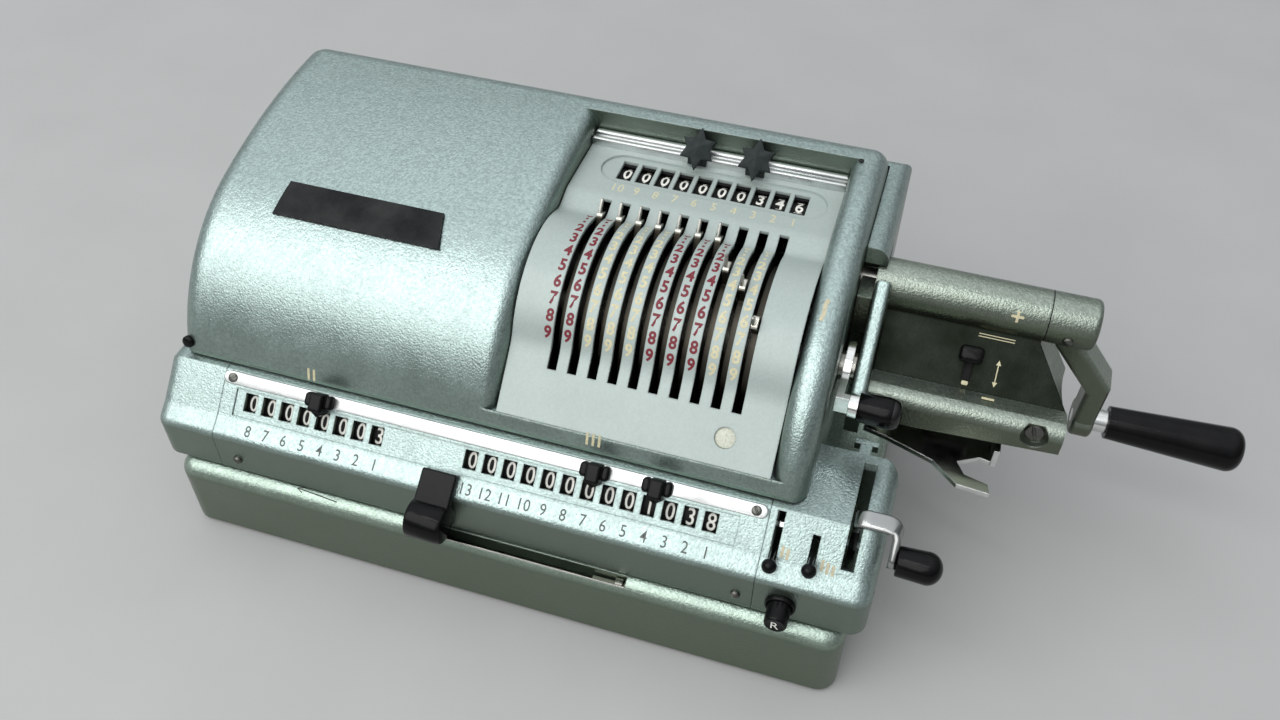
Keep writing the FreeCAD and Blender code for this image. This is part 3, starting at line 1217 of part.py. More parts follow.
def direction_knob():
    """Sliding knob on the crank housing's panel, held by a washer under the panel."""
    out_a = panel_point(0, 0)
    out_b = panel_point(0, 1)
    out = FreeCAD.Vector(0, out_b[0] - out_a[0], out_b[1] - out_a[1])

    def disc(radius, low, high):
        base = FreeCAD.Vector(KNOB_X, *panel_point(KNOB_PLACE, low))
        return Part.makeCylinder(radius, high - low, base, out)

    knob = disc(KNOB_RADIUS, GAP / 2, KNOB_HEIGHT)
    knob = rounded(knob, 0.8, lambda e: True)
    under = -HOUSING_WALL - GAP
    return join(knob, disc(KNOB_STEM_RADIUS, under, 1), disc(KNOB_RADIUS, under - 1, under))


def step_lever():
    """Forked plate under the crank housing with an upturned tab and a bent finger."""
    px, py = STEP_PIVOT
    corners = [FreeCAD.Vector(px + x, py + y, STEP_LEVEL) for x, y in STEP_OUTLINE]
    plate = Part.Face(Part.makePolygon(corners + corners[:1])).extrude(FreeCAD.Vector(0, 0, STEP_THICKNESS))
    tab_x = px + STEP_OUTLINE[2][0]
    tab = block(
        tab_x - STEP_THICKNESS, tab_x, py + STEP_OUTLINE[3][1], py + STEP_OUTLINE[2][1],
        STEP_LEVEL, STEP_LEVEL + STEP_TAB_HEIGHT,
    )
    hole = post(px, py, STEP_PIN_RADIUS + FIT, STEP_LEVEL - 1, STEP_LEVEL + STEP_THICKNESS + 1)
    return less(join(plate, tab), hole)


def pieces():
    """Every named piece in the working datums."""
    shapes = {
        "base_tray": base_tray(),
        "bottom_plate": bottom_plate(),
        "rubber_feet": rubber_feet(),
        "frame_plates": frame_plates(),
        "tie_rods": tie_rods(),
        "top_cover": top_cover(),
        "setting_plate": setting_plate(),
        "rear_cover": rear_cover(),
        "gear_guard": gear_guard(),
        "crank_housing": crank_housing(),
        "upper_rail": upper_rail(),
        "check_shaft": check_shaft(),
        "guide_rail": guide_rail(),
        "crank_shaft": crank_shaft(),
        "crank_arm": crank_arm(),
        "grip_spindle": grip_spindle(),
        "crank_grip": crank_grip(),
        "idler_gear": idler_gear(),
        "drum_shaft": drum_shaft(),
        "pinwheels": pinwheels(),
        "carriage_panel": carriage_panel(),
        "carriage_left_end": carriage_left_end(),
        "carriage_right_end": carriage_right_end(),
        "carriage_rail": carriage_rail(),
        "register_shaft": register_shaft(),
        "result_dials": dial_row(register_places()[:RESULT_PLACES]),
        "counter_dials": dial_row(register_places()[RESULT_PLACES:]),
        "counter_selector": selector(0),
        "result_selector": selector(1),
        "register_clear_lever": register_clear_lever(),
        "setting_clear_lever": setting_clear_lever(),
        "transfer_button": transfer_button(),
        "shift_knob": shift_knob(),
        "direction_knob": direction_knob(),
        "step_lever": step_lever(),
    }
    for place in range(COLUMNS):
        shapes[f"setting_lever_{place + 1:02d}"] = setting_lever(place)
        shapes[f"check_dial_{place + 1:02d}"] = check_dial(place)
    for number, x in enumerate(CARRIAGE_RIDER_PLACES, 1):
        shapes[f"carriage_rider_{number}"] = carriage_rider(x)
    for number, x in enumerate(UPPER_RIDER_PLACES, 1):
        shapes[f"upper_rider_{number}"] = upper_rider(x)
    return shapes


def origin_shift(shapes):
    """From the working datums to an origin on the table under the middle of the machine."""
    extent = Part.makeCompound(list(shapes.values())).BoundBox
    return FreeCAD.Vector(-extent.Center.x, -extent.Center.y, -extent.ZMin)


def main():
    os.makedirs("parts", exist_ok=True)
    shapes = pieces()
    shift = origin_shift(shapes)
    for name, shape in shapes.items():
        shape.translate(shift)
        shape.exportStep(f"parts/{name}.step")


if __name__ == "__main__":
    main()
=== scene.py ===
import json
from math import cos, radians, sin, sqrt, tau

import bmesh
import bpy
from bpy.props import FloatProperty, FloatVectorProperty, PointerProperty
from mathutils import Matrix, Vector


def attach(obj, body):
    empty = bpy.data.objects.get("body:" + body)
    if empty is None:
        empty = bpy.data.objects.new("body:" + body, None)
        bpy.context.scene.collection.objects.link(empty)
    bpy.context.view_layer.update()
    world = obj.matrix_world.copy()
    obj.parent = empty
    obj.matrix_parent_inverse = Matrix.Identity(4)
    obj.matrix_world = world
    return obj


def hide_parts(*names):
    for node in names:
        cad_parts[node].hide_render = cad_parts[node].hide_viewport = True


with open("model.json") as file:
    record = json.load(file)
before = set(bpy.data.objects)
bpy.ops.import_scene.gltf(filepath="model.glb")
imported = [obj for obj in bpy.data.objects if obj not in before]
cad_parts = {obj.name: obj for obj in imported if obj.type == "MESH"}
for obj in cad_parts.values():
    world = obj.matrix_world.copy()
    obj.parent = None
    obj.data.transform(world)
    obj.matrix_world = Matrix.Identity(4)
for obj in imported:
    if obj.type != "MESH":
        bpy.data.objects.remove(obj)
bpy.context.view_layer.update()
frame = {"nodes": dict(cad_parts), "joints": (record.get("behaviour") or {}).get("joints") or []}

bl_info = {
    "name": "Adding machine look",
    "version": (1, 0, 0),
    "blender": (4, 5, 0),
    "location": "View3D > Sidebar > Machine",
    "description": "Finishes, figures and trim for the pinwheel adding machine",
    "category": "Object",
}

# Places are in millimetres in the machine's working datums:
# X = 0 at the result's units place, Y = 0 at the drum axis, Z = 0 on the table.
# A pair that stands for an axis or an edge along X is its Y and Z.
MM = 0.001
PITCH = 7.0

# Setting plate: slots, levers, check windows with masks as Y, width, low and high
COLUMNS = 10
RED_COLUMNS = (2, 3, 4, 8, 9)
DRUM = (0.0, 81.4)
PLATE_RADIUS = 32.9
PLATE_FLAT = 113.4
PLATE_FOOT = (-49.2, 73.2)
PLATE_CREASE_DEG = 18.0
RECESS = (-1.2, 9.5)
ZERO_DEG = 117.4
DIGIT_STEP_DEG = 10.1
SLOT_SHIFT = 0.6
# Radii from the drum axis over which each setting lever goes from painted shade, inside its slot, to bright metal
LEVER_SHADE_EDGE = (33.2, 34.4)
TIP_SHIFT = 0.25
TIP_LEAF = ((-1.5, -2.5), (1.3, -2.5), (1.2, 1.4), (0.9, 4.4), (0.3, 6.6), (-0.3, 6.6), (-1.0, 4.4), (-1.4, 1.4))
CHECK_SHIFT = 1.9
CHECK_AXIS = (40.8, 102.0)
CHECK_RADIUS = 9.0
CHECK_FACING_DEG = 95.0
CHECK_DIGITS = "6430000000"
CHECK_PLACE_Y = 29.6
CHECK_FIGURE_SHARE = 0.927
CHECK_MASKS = ((36.1, 3.0, -2.32, -2.06), (46.6, 2.8, -2.9, -2.1))

# Carriage: each register's name, digits shown, units column and shift of its place figures
REGISTERS = (("result", "8301000000000", 0, 0.7), ("counter", "30000000", 17, 1.7))
REGISTER = (-60.7, 58.8)
DIAL_RADIUS = 10.0
DIAL_DEPTH = 12.9
DIAL_FACING_DEG = 45.0
DIAL_STEP_DEG = 36.0
FOLD_PLACE = -6.5
BAND_DEG = 36.0
BAND_FIGURE_DOWN = 3.2
CARRIAGE_FRONT = -71.5
BUTTON = (27.3, 40.2)
BUTTON_FACE = 8.4
SHIFT_KNOB_X = -92.6
SHIFT_ROLL = (-78.8, 44.2)
SHIFT_BOSS_Y = -75.2
GROOVE_Y = -73.0

# Rails and riders; screws as X and turn, strips as place, width, share of the height and rounding
RAIL_LOW = 5.4
RAIL_WIDTH = 4.6
RAIL_MIDDLE = RAIL_LOW + RAIL_WIDTH / 2
RAIL_HEIGHT = 1.8
RAIL_ENDS = (-179.0, 17.5)
RAIL_SCREWS = ((13.8, 0.5), (-175.4, 2.2))
FRONT_SCREWS = ((12.3, 1.2), (-171.6, 0.4))
FRONT_SCREW_Z = 39.0
UPPER_RAIL_Y = 51.5
UPPER_RAIL_HEIGHT = 3.6
UPPER_RAIL_ENDS = (-78.1, 15.8)
UPPER_RAIL_STRIPS = ((1.0, 2.0, 0.85, 0.6), (2.9, 2.0, 0.55, 0.1), (4.9, 2.4, 1.0, 0.9))
STAR_RIDERS = (-38.1, -16.8)
STAR_LEAN_DEG = 40.0
BLOCK_RIDERS = (-140.6, -40.2, -18.9)
RIDER_GAP = 0.06

# Casing and base; bars as X, count and angle
CASE_ARC = (14.93, 47.97)
CASE_RADIUS = 69.0
NAME_PLATE = ((-31.5, -6.8), (31.5, -6.8), (30.0, 6.8), (-28.5, 6.8))
NAME_PLATE_SPOT = (-141.0, 68.2)
NAME_PLATE_LEAN = 0.12
HEM_PLUG = (-195.8, 19.5)
CHEEK_HOLE = (18.9, 57.3, 123.93)
CHEEK_MARK = (20.6, 69.6)
CASE_BARS = ((-147.0, 2, 18.6), (-43.5, 3, 20.2))
BASE_ROUND = ((-70.0, 26.0), 6.0)
LEDGE_ARROW = (-141.0, 66.0)
EDGING = (-95.0, -74.7, 29.75)
EDGING_LENGTH = 70.0
EDGING_RADIUS = 0.35
GROOVE_STOP = (-30.5, GROOVE_Y, 25.0)

# Levers; selectors as X and place up the slope, their bars as X, place and count, and where the clearing lever goes
# from painted shade to bright metal, from radius to radius
SELECTORS = {"counter_selector": (21.7, -7.8), "result_selector": (34.0, -6.1)}
SELECTOR_BARS = ((25.4, -3.2, 2), (39.4, -4.4, 3))
BALL_RADIUS = 2.46
BALL_ABOVE = 5.5
CLEAR_PIVOT = (-39.7, 37.8)
CLEAR_GRIP = (59.4, -59.84, 62.67)
CLEAR_X = 45.4
CLEAR_REST_DEG = 112.0
CLEAR_BAR = 34.7
CLEAR_SHADE_EDGE = (27.0, 28.0)
RESET_GRIP = (37.0, -19.55, 83.8)
GRIP_RADIUS = 5.3
GRIPS = {"register_clear_lever": (CLEAR_GRIP, 14.2), "setting_clear_lever": (RESET_GRIP, 14.5)}

# Crank housing; the knob's slot, its inside walls painted black as painted shade, as middle and half across, out of
# and down the panel
CRANK = (27.51, 97.74)
BARREL_RADIUS = 8.75
PANEL_FOOT = (6.3, 76.6)
KNOB_X = 69.3
KNOB_PLACE = 9.4
KNOB_SLOT = ((KNOB_X, 1.7), (-1.75, 1.5), (12.5, 9.5))
PANEL_BARS = (76.3, 2.2)
PANEL_ARROW = (78.8, 14.0)
PANEL_DOT = 19.2
SHADE_SHEET_PLACE = 10.5
PLUS_SIGN = (80.5, 24.3)
PLUS_STEPS_DEG = (-10.5, -5.2, 5.2, 10.5)
MINUS_SIGN = (77.6, 3.0, 77.6)
POCKET_SCREW = (94.4, -3.0, 73.2)
HUB_SCREW = (98.0, -14.0)

# Figures and painted marks
FIGURE_SINK = -0.02
FIGURE_GAP = 0.62
FIGURE_ROWS = 5
GLYPH_TALL = 0.73
MARK_SINK = -0.05

# Stage: the camera's place in the working datums; lights in metres as place, target, size, power and colour
CAMERA_PLACE = (43.7, -280.8, 362.2)
CAMERA_TURNS_DEG = (17.17, 45.70, -0.58)
CAMERA_LENS = 32.535
CAMERA_SENSOR = 36.0
LIGHTS = {
    "key": ((-0.66, -1.00, 1.12), (-0.04, 0.0, 0.06), (2.0, 1.1), 13.5, (1.0, 0.99, 0.97)),
    "strip": ((-0.15, -0.50, 1.25), (0.0, 0.0, 0.06), (0.9, 0.04), 1.4, (1.0, 1.0, 1.0)),
}
FLOOR_HALF = 3.0
FLOOR_TONES = ((0.42, 0.42, 0.415), (0.48, 0.48, 0.475))
SKY_TONES = ((0.17, 0.18, 0.18), (0.62, 0.65, 0.66), (1.22, 1.26, 1.30))

FIRST_LEVER = next(j for j in frame["joints"] if j["name"] == "setting_lever_01")
ORIGIN = Vector(FIRST_LEVER["pos_m"]) - Vector((SLOT_SHIFT, *DRUM)) * MM


# Patches: a patch turns along, up and out of a surface into a place in the scene

def at(x, y, z):
    return ORIGIN + Vector((x, y, z)) * MM


def flat(x, y, z, up=(0, 1, 0), right=(1, 0, 0)):
    """A flat patch whose out side is right turned into up, lying if nothing else is said."""
    right = Vector(right).normalized()
    up = Vector(up).normalized()
    out = right.cross(up)
    base = Vector((x, y, z))
    return lambda u, v, n: ORIGIN + (base + u * right + v * up + n * out) * MM


def upright(x, y, z):
    """A patch that looks to the front."""
    return flat(x, y, z, (0, 0, 1))


def sideways(x, y, z):
    """A patch that looks towards the crank side."""
    return flat(x, y, z, (0, 0, 1), right=(0, 1, 0))


def moved(patch, along=0.0, up=0.0, out=0.0):
    """A patch moved over its own surface."""
    return lambda u, v, n: patch(u + along, v + up, n + out)


def arched(x, axis, radius, phi):
    """A patch on a drum along X, phi degrees up from its front."""
    def spot(u, v, n):
        turn = radians(phi) + v / radius
        return at(x + u, axis[0] - (radius + n) * cos(turn), axis[1] + (radius + n) * sin(turn))
    return spot


def setting(x, digit):
    """A patch on the setting plate's arch, level with a lever set to a digit."""
    return arched(x, DRUM, PLATE_RADIUS, ZERO_DEG - DIGIT_STEP_DEG * digit)


def case(x, phi):
    return arched(x, CASE_ARC, CASE_RADIUS, phi)


def barrel(x, phi):
    return arched(x, CRANK, BARREL_RADIUS, phi)


def slope_point(along, above):
    r = sqrt(0.5)
    return (REGISTER[0] + (along - above) * r, REGISTER[1] + (along + above) * r)


def slope(x, along, above=0.0):
    """A patch on the carriage's sloping face, up it from the windows."""
    return flat(x, *slope_point(along, above), (0, 1, 1))


def band(x, down):
    """A patch on the carriage's figure band, so far down from its fold."""
    y, z = slope_point(FOLD_PLACE, 0)
    lean = radians(BAND_DEG)
    up = (0, cos(lean), sin(lean))
    return flat(x, y - down * up[1], z - down * up[2], up)


def panel(x, along):
    """A patch on the crank housing's sloping panel, down it from the barrel."""
    r = BARREL_RADIUS * sqrt(0.5)
    top = Vector((x, CRANK[0] - r, CRANK[1] - r))
    up = (top - Vector((x, *PANEL_FOOT))).normalized()
    return flat(*(top - up * along), up)


def plate_foot(x, up_it):
    """A patch on the setting plate's sloping foot, so far up from its lower edge."""
    lean = radians(PLATE_CREASE_DEG)
    foot = Vector((x, *PLATE_FOOT))
    crease = Vector((x, DRUM[0] - PLATE_RADIUS * cos(lean), DRUM[1] + PLATE_RADIUS * sin(lean)))
    up = (crease - foot).normalized()
    return flat(*(foot + up * up_it), up)


def column(place):
    return -PITCH * place


def centred(count, pitch):
    """Places of so many things side by side about nought."""
    return [pitch * (i - (count - 1) / 2) for i in range(count)]


# Mesh makers: each builds a part in millimetres, along, up and out of a patch

def oblong(width, height, corner, steps=6):
    """Outline of a rectangle with round corners."""
    points = []
    for quarter, (sx, sy) in enumerate(((1, 1), (-1, 1), (-1, -1), (1, -1))):
        for step in range(steps + 1):
            a = radians(90 * quarter + 90 * step / steps)
            points.append((
                sx * (width / 2 - corner) + corner * cos(a),
                sy * (height / 2 - corner) + corner * sin(a),
            ))
    return points


def ribbon(points, width):
    """Outline of a bent stroke of even width."""
    left, right = [], []
    for i, point in enumerate(points):
        before = Vector(points[max(i - 1, 0)])
        after = Vector(points[min(i + 1, len(points) - 1)])
        along = (after - before).normalized()
        side = Vector((-along.y, along.x)) * width / 2
        left.append(tuple(Vector(point) + side))
        right.append(tuple(Vector(point) - side))
    return right + left[::-1]


def skin(part, rings, closed=False):
    """Joins rings of points into a surface, with capped ends or closed on itself."""
    for low, high in zip(rings, rings[1:] + rings[:1] if closed else rings[1:]):
        for i in range(len(low)):
            j = (i + 1) % len(low)
            part.faces.new(list(dict.fromkeys((low[i], low[j], high[j], high[i]))))
    for end in (rings[0][::-1], rings[-1]):
        if not closed and end[0] is not end[1]:
            part.faces.new(end)
    return part


def prism(outline, low, high, edge=0.0, rows=3):
    """An outline drawn out from low to high, its top edge rounded over."""
    part = bmesh.new()
    spans = [(min(line), max(line)) for line in zip(*outline)]
    (middle_u, half_u), (middle_v, half_v) = [((a + b) / 2, (b - a) / 2) for a, b in spans]
    levels = [(0.0, low), (0.0, high - edge)]
    if edge:
        turns = [radians(90 * row / rows) for row in range(1, rows + 1)]
        levels += [(edge * (1 - cos(a)), high - edge + edge * sin(a)) for a in turns]
    rings = []
    for inset, level in levels:
        ku, kv = 1 - inset / half_u, 1 - inset / half_v
        rings.append([
            part.verts.new((middle_u + (u - middle_u) * ku, middle_v + (v - middle_v) * kv, level))
            for u, v in outline
        ])
    return skin(part, rings)


def mark(outline, high, edge=0.0, rows=1):
    """A thin painted mark, sunk a little into what it lies on."""
    return prism(outline, MARK_SINK, high, edge, rows)


def turned(profile, steps=32, closed=False):
    """A round part from pairs of radius and height, or a ring whose profile closes on itself."""
    part = bmesh.new()
    turns = [tau * i / steps for i in range(steps)]
    rings = []
    for radius, height in profile:
        if radius:
            rings.append([part.verts.new((radius * cos(a), radius * sin(a), height)) for a in turns])
        else:
            rings.append([part.verts.new((0, 0, height))] * steps)
    return skin(part, rings, closed)


def dome(radius, foot, rise, degrees):
    """Profile of a domed end, up to its middle."""
    turns = [radians(a) for a in degrees]
    return [(radius * cos(a), foot + rise * sin(a)) for a in turns] + [(0, foot + rise)]


def cut(part, place, normal):
    """Cuts a part's faces along a plane."""
    geom = part.verts[:] + part.edges[:] + part.faces[:]
    bmesh.ops.bisect_plane(part, geom=geom, plane_co=place, plane_no=normal)


def screw_head(radius, height, rise, slot, turn):
    """A screw's domed head with a sawn slot."""
    shoulder = height - rise
    part = turned([(radius, -0.3), (radius, shoulder)] + dome(radius, shoulder, rise, (20, 40, 60, 78)), 28)
    for side in (-1, 1):
        cut(part, (side * slot / 2, 0, 0), (1, 0, 0))
    middles = [(face, face.calc_center_median()) for face in part.faces]
    sawn = [face for face, middle in middles if abs(middle.x) < slot / 2 and middle.z > shoulder + 0.01]
    grown = bmesh.ops.extrude_face_region(part, geom=sawn)["geom"]
    for vert in (g for g in grown if isinstance(g, bmesh.types.BMVert)):
        vert.co.z = height - max(rise, 0.6 * height)
    bmesh.ops.rotate(part, verts=part.verts[:], cent=(0, 0, 0), matrix=Matrix.Rotation(turn, 3, "Z"))
    return part


def strip(corners, normals, reach, outline, steps=8):
    """A flat bar along a path of corners, bent and twisted round each of them, with a round far end."""
    path = [(corners[0], normals[0])]
    for i in range(1, len(corners) - 1):
        before = corners[i] + (corners[i - 1] - corners[i]).normalized() * reach
        after = corners[i] + (corners[i + 1] - corners[i]).normalized() * reach
        for t in (k / steps for k in range(steps + 1)):
            place = before * (1 - t) ** 2 + corners[i] * 2 * t * (1 - t) + after * t ** 2
            path.append((place, normals[i - 1].lerp(normals[i], t)))
    path.append((corners[-1], normals[-1]))
    ends = [(1.0, 0.0)] * (len(path) - 1) + [(cos(a), sin(a)) for a in (0, 0.5, 1.0, 1.35)]
    half = max(u for u, v in outline)
    part = bmesh.new()
    rings = []
    for i, (narrow, past_end) in enumerate(ends):
        j = min(i, len(path) - 1)
        place, normal = path[j]
        along = (path[min(j + 1, len(path) - 1)][0] - path[max(j - 1, 0)][0]).normalized()
        normal = (normal - along * normal.dot(along)).normalized()
        wide = normal.cross(along)
        place = place + along * half * past_end
        rings.append([part.verts.new(place + wide * u * narrow + normal * v) for u, v in outline])
    return skin(part, rings)


GLYPHS = {}


def glyph(sign, weight, rows):
    """A figure one unit tall and one thick, cut into rows so that it can bend."""
    key = (sign, weight, rows)
    if key not in GLYPHS:
        curve = bpy.data.curves.new("glyph", "FONT")
        curve.body = sign
        curve.resolution_u = 3
        curve.offset = weight
        curve.extrude = 0.5
        holder = bpy.data.objects.new("glyph", curve)
        bpy.context.scene.collection.objects.link(holder)
        seen = holder.evaluated_get(bpy.context.evaluated_depsgraph_get())
        mesh = bpy.data.meshes.new_from_object(seen)
        part = bmesh.new()
        part.from_mesh(mesh)
        bpy.data.objects.remove(holder)
        bpy.data.curves.remove(curve)
        bpy.data.meshes.remove(mesh)
        xs = [v.co.x for v in part.verts]
        for vert in part.verts:
            vert.co.x = (vert.co.x - (min(xs) + max(xs)) / 2) / GLYPH_TALL
            vert.co.y = vert.co.y / GLYPH_TALL - 0.5
            vert.co.z += 0.5
        for row in range(1, rows):
            cut(part, (0, row / rows - 0.5, 0), (0, 1, 0))
        GLYPHS[key] = part
    return GLYPHS[key]


def stamp(text, patch, height, narrow, weight, lift=0.06, rows=1):
    """Figures on a patch, side by side about its middle: a list of parts with their patches."""
    def spot(shift):
        return lambda u, v, n: patch(shift + u * height * narrow, v * height, FIGURE_SINK + n * lift)
    shifts = centred(len(text), FIGURE_GAP * height)
    return [(glyph(sign, weight, rows), spot(shift)) for sign, shift in zip(text, shifts)]


def piece(name, parts, material, body, angle=38):
    """Makes parts, each with its patch, into a piece that moves with a body."""
    bm = bmesh.new()
    for part, patch in parts:
        placed = {v: bm.verts.new(patch(*v.co)) for v in part.verts}
        for face in part.faces:
            bm.faces.new([placed[v] for v in face.verts])
    bmesh.ops.remove_doubles(bm, verts=bm.verts[:], dist=1e-7)
    bmesh.ops.recalc_face_normals(bm, faces=bm.faces[:])
    mesh = bpy.data.meshes.new(name)
    bm.to_mesh(mesh)
    bm.free()
    mesh.shade_smooth()
    mesh.set_sharp_from_angle(angle=radians(angle))
    mesh.materials.append(FINISHES[material])
    obj = bpy.data.objects.new(name, mesh)
    bpy.context.scene.collection.objects.link(obj)
    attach(obj, body)
    return obj


# Shader makers

def is_socket(value):
    return isinstance(value, bpy.types.NodeSocket)


def fill(sockets, values):
    """Links sockets to other sockets, or sets them to plain values."""
    for key, value in values.items():
        if is_socket(value):
            value.id_data.links.new(value, sockets[key])
        else:
            sockets[key].default_value = value


def node(kind, values, tree=None, **settings):
    """A node in a given tree, or in the one that its values' sockets belong to."""
    tree = tree or next(v.id_data for v in values.values() if is_socket(v))
    made = tree.nodes.new(kind)
    for key, value in settings.items():
        setattr(made, key, value)
    fill(made.inputs, values)
    return made


def maths(operation, a, b=0.5, clamp=False):
    return node("ShaderNodeMath", {0: a, 1: b}, operation=operation, use_clamp=clamp).outputs[0]


def plus(a, b):
    return maths("ADD", a, b)


def minus(a, b):
    return maths("SUBTRACT", a, b)


def times(a, b, clamp=False):
    return maths("MULTIPLY", a, b, clamp)


def vector(operation, a, b=(0, 0, 0)):
    made = node("ShaderNodeVectorMath", {0: a, 1: b}, operation=operation)
    return made.outputs["Value" if operation in ("DOT_PRODUCT", "LENGTH") else "Vector"]


def component(place, axis):
    return node("ShaderNodeSeparateXYZ", {"Vector": place}).outputs[axis]


def spread(value, low, high, to_low=0.0, to_high=1.0):
    made = node("ShaderNodeMapRange", {
        "Value": value, "From Min": low, "From Max": high, "To Min": to_low, "To Max": to_high,
    }, clamp=True)
    return made.outputs["Result"]


def within(value, middle, reach):
    """One where a value is within reach of a middle, both in millimetres, and nought beyond."""
    off = maths("ABSOLUTE", minus(value, middle * MM))
    return spread(off, reach * MM, (reach + 0.1) * MM, 1.0, 0.0)


def blend(amount, a, b):
    """One colour mixed into another; sockets 6, 7 and 2 are the node's colours."""
    a, b = (c if is_socket(c) else (*c, 1) for c in (a, b))
    return node("ShaderNodeMix", {0: amount, 6: a, 7: b}, data_type="RGBA").outputs[2]


def noise(place, detail, **values):
    values = {"Vector": place, "Scale": 1.0, "Detail": detail, **values}
    return node("ShaderNodeTexNoise", values).outputs


def object_place(tree):
    return tree.nodes.new("ShaderNodeTexCoord").outputs["Object"]


def scaled_place(tree, size):
    """Places on the object, in steps of a size in millimetres."""
    steps = maths("DIVIDE", 1 / MM, size) if is_socket(size) else [1 / MM / size] * 3
    return vector("MULTIPLY", object_place(tree), steps)


def new_group(name, inputs, outputs, vectors=()):
    """An empty effect with its sockets, its start and its end."""
    tree = bpy.data.node_groups.new(name, "ShaderNodeTree")
    for label, value in inputs.items():
        tree.interface.new_socket(label, in_out="INPUT", socket_type="NodeSocketFloat").default_value = value
    for labels, kind in ((outputs, "NodeSocketFloat"), (vectors, "NodeSocketVector")):
        for label in labels:
            tree.interface.new_socket(label, in_out="OUTPUT", socket_type=kind)
    return tree, tree.nodes.new("NodeGroupInput").outputs, tree.nodes.new("NodeGroupOutput").inputs


def hammer_grain():
    """Beaten metallic paint: rounded cells with a random fleck in each."""
    tree, given, out = new_group("hammer_grain", {"Size": 1.3}, ("Height", "Fleck"))
    place = scaled_place(tree, given["Size"])
    bent = vector("ADD", noise(place, 3.0, Scale=0.55)["Color"], place)
    cells = {"Vector": bent, "Scale": 1.0, "Smoothness": 0.7}
    cells = node("ShaderNodeTexVoronoi", cells, feature="SMOOTH_F1").outputs
    fine = noise(place, 4.0, Scale=1.6, Roughness=0.6)[0]
    height = minus(1.0, cells["Distance"])
    tint = times(plus(cells["Color"], fine), 0.5)
    fill(out, {
        "Height": plus(height, times(fine, 0.5)),
        "Fleck": spread(tint, 0.3, 0.7),
    })


def worn_edge():
    """Rounded-looking edges and a broken mask along them."""
    tree, given, out = new_group("worn_edge", {"Radius": 0.0006, "Wear": 1.0}, ("Mask",), ("Normal",))
    soft = node("ShaderNodeBevel", {"Radius": given["Radius"]}, samples=2).outputs[0]
    true = tree.nodes.new("ShaderNodeNewGeometry").outputs["Normal"]
    edge = minus(1.0, vector("DOT_PRODUCT", soft, true))
    patches = noise(scaled_place(tree, 2.4), 5.0, Roughness=0.7)[0]
    broken = times(spread(edge, 0.02, 0.2), spread(patches, 0.46, 0.66))
    fill(out, {"Mask": times(broken, given["Wear"], clamp=True), "Normal": soft})


def settled_dust():
    """Thin dust and handling marks: more where a face looks up. Painted shade: darker where a face looks sideways or
    down.
    """
    tree, given, out = new_group("settled_dust", {"Amount": 0.3}, ("Mask", "Smudge", "Painted_shade"))
    up = component(tree.nodes.new("ShaderNodeNewGeometry").outputs["Normal"], "Z")
    wide = noise(scaled_place(tree, 14.0), 4.0)[0]
    specks = noise(scaled_place(tree, 0.6), 2.0)[0]
    film = times(spread(up, 0.2, 1.0), spread(wide, 0.4, 0.75))
    grit = times(spread(specks, 0.62, 0.75), 0.4)
    # Painted shade: one where a face looks sideways or down, nought where it looks up.
    low = plus(up, times(wide, 0.3))
    fill(out, {
        "Mask": times(plus(film, grit), given["Amount"], clamp=True),
        "Smudge": spread(wide, 0.3, 0.7),
        "Painted_shade": spread(low, 0.25, 0.85, 1.0, 0.0),
    })


def drawn_lines():
    """Fine lines along X left by rolling or polishing."""
    tree, given, out = new_group("drawn_lines", {"Size": 0.25}, ("Height", "Shade"))
    thin = vector("MULTIPLY", scaled_place(tree, given["Size"]), (0.02, 1.0, 1.0))
    lines = noise(thin, 3.0, Roughness=0.65)[0]
    nicks = noise(scaled_place(tree, 5.0), 6.0)[0]
    mixed = plus(times(lines, 0.6), times(nicks, 0.4))
    fill(out, {"Height": lines, "Shade": spread(mixed, 0.35, 0.65)})


def effect(tree, name, **values):
    return node("ShaderNodeGroup", values, tree, node_tree=bpy.data.node_groups[name]).outputs


FINISHES = {}


def new_material(name, colour, **values):
    mat = bpy.data.materials.new(name)
    FINISHES[name] = mat
    mat.use_nodes = True
    mat.diffuse_color = (*colour, 1)
    tree = mat.node_tree
    shader = tree.nodes["Principled BSDF"]
    fill(shader.inputs, {key.replace("_", " "): value for key, value in values.items()})
    return tree, shader


def srgb(*levels):
    """A colour as read on a screen, 0 to 255, in the scene's linear values."""
    return tuple(c / 12.92 if c <= 0.04045 else ((c + 0.055) / 1.055) ** 2.4 for c in (v / 255 for v in levels))


def shade(colour, *factors):
    """A colour made darker or paler, by one factor or by one for each channel."""
    return tuple(min(c * f, 1.0) for c, f in zip(colour, factors * 3))


def dress(shader, colour, rough, height, distance, strength, **under):
    """Gives a material its colour, its roughness and a relief of so many millimetres."""
    values = {"Height": height, "Distance": distance * MM, "Strength": strength, **under}
    bump = node("ShaderNodeBump", values)
    fill(shader.inputs, {"Base Color": colour, "Roughness": rough, "Normal": bump.outputs[0]})
    return bump


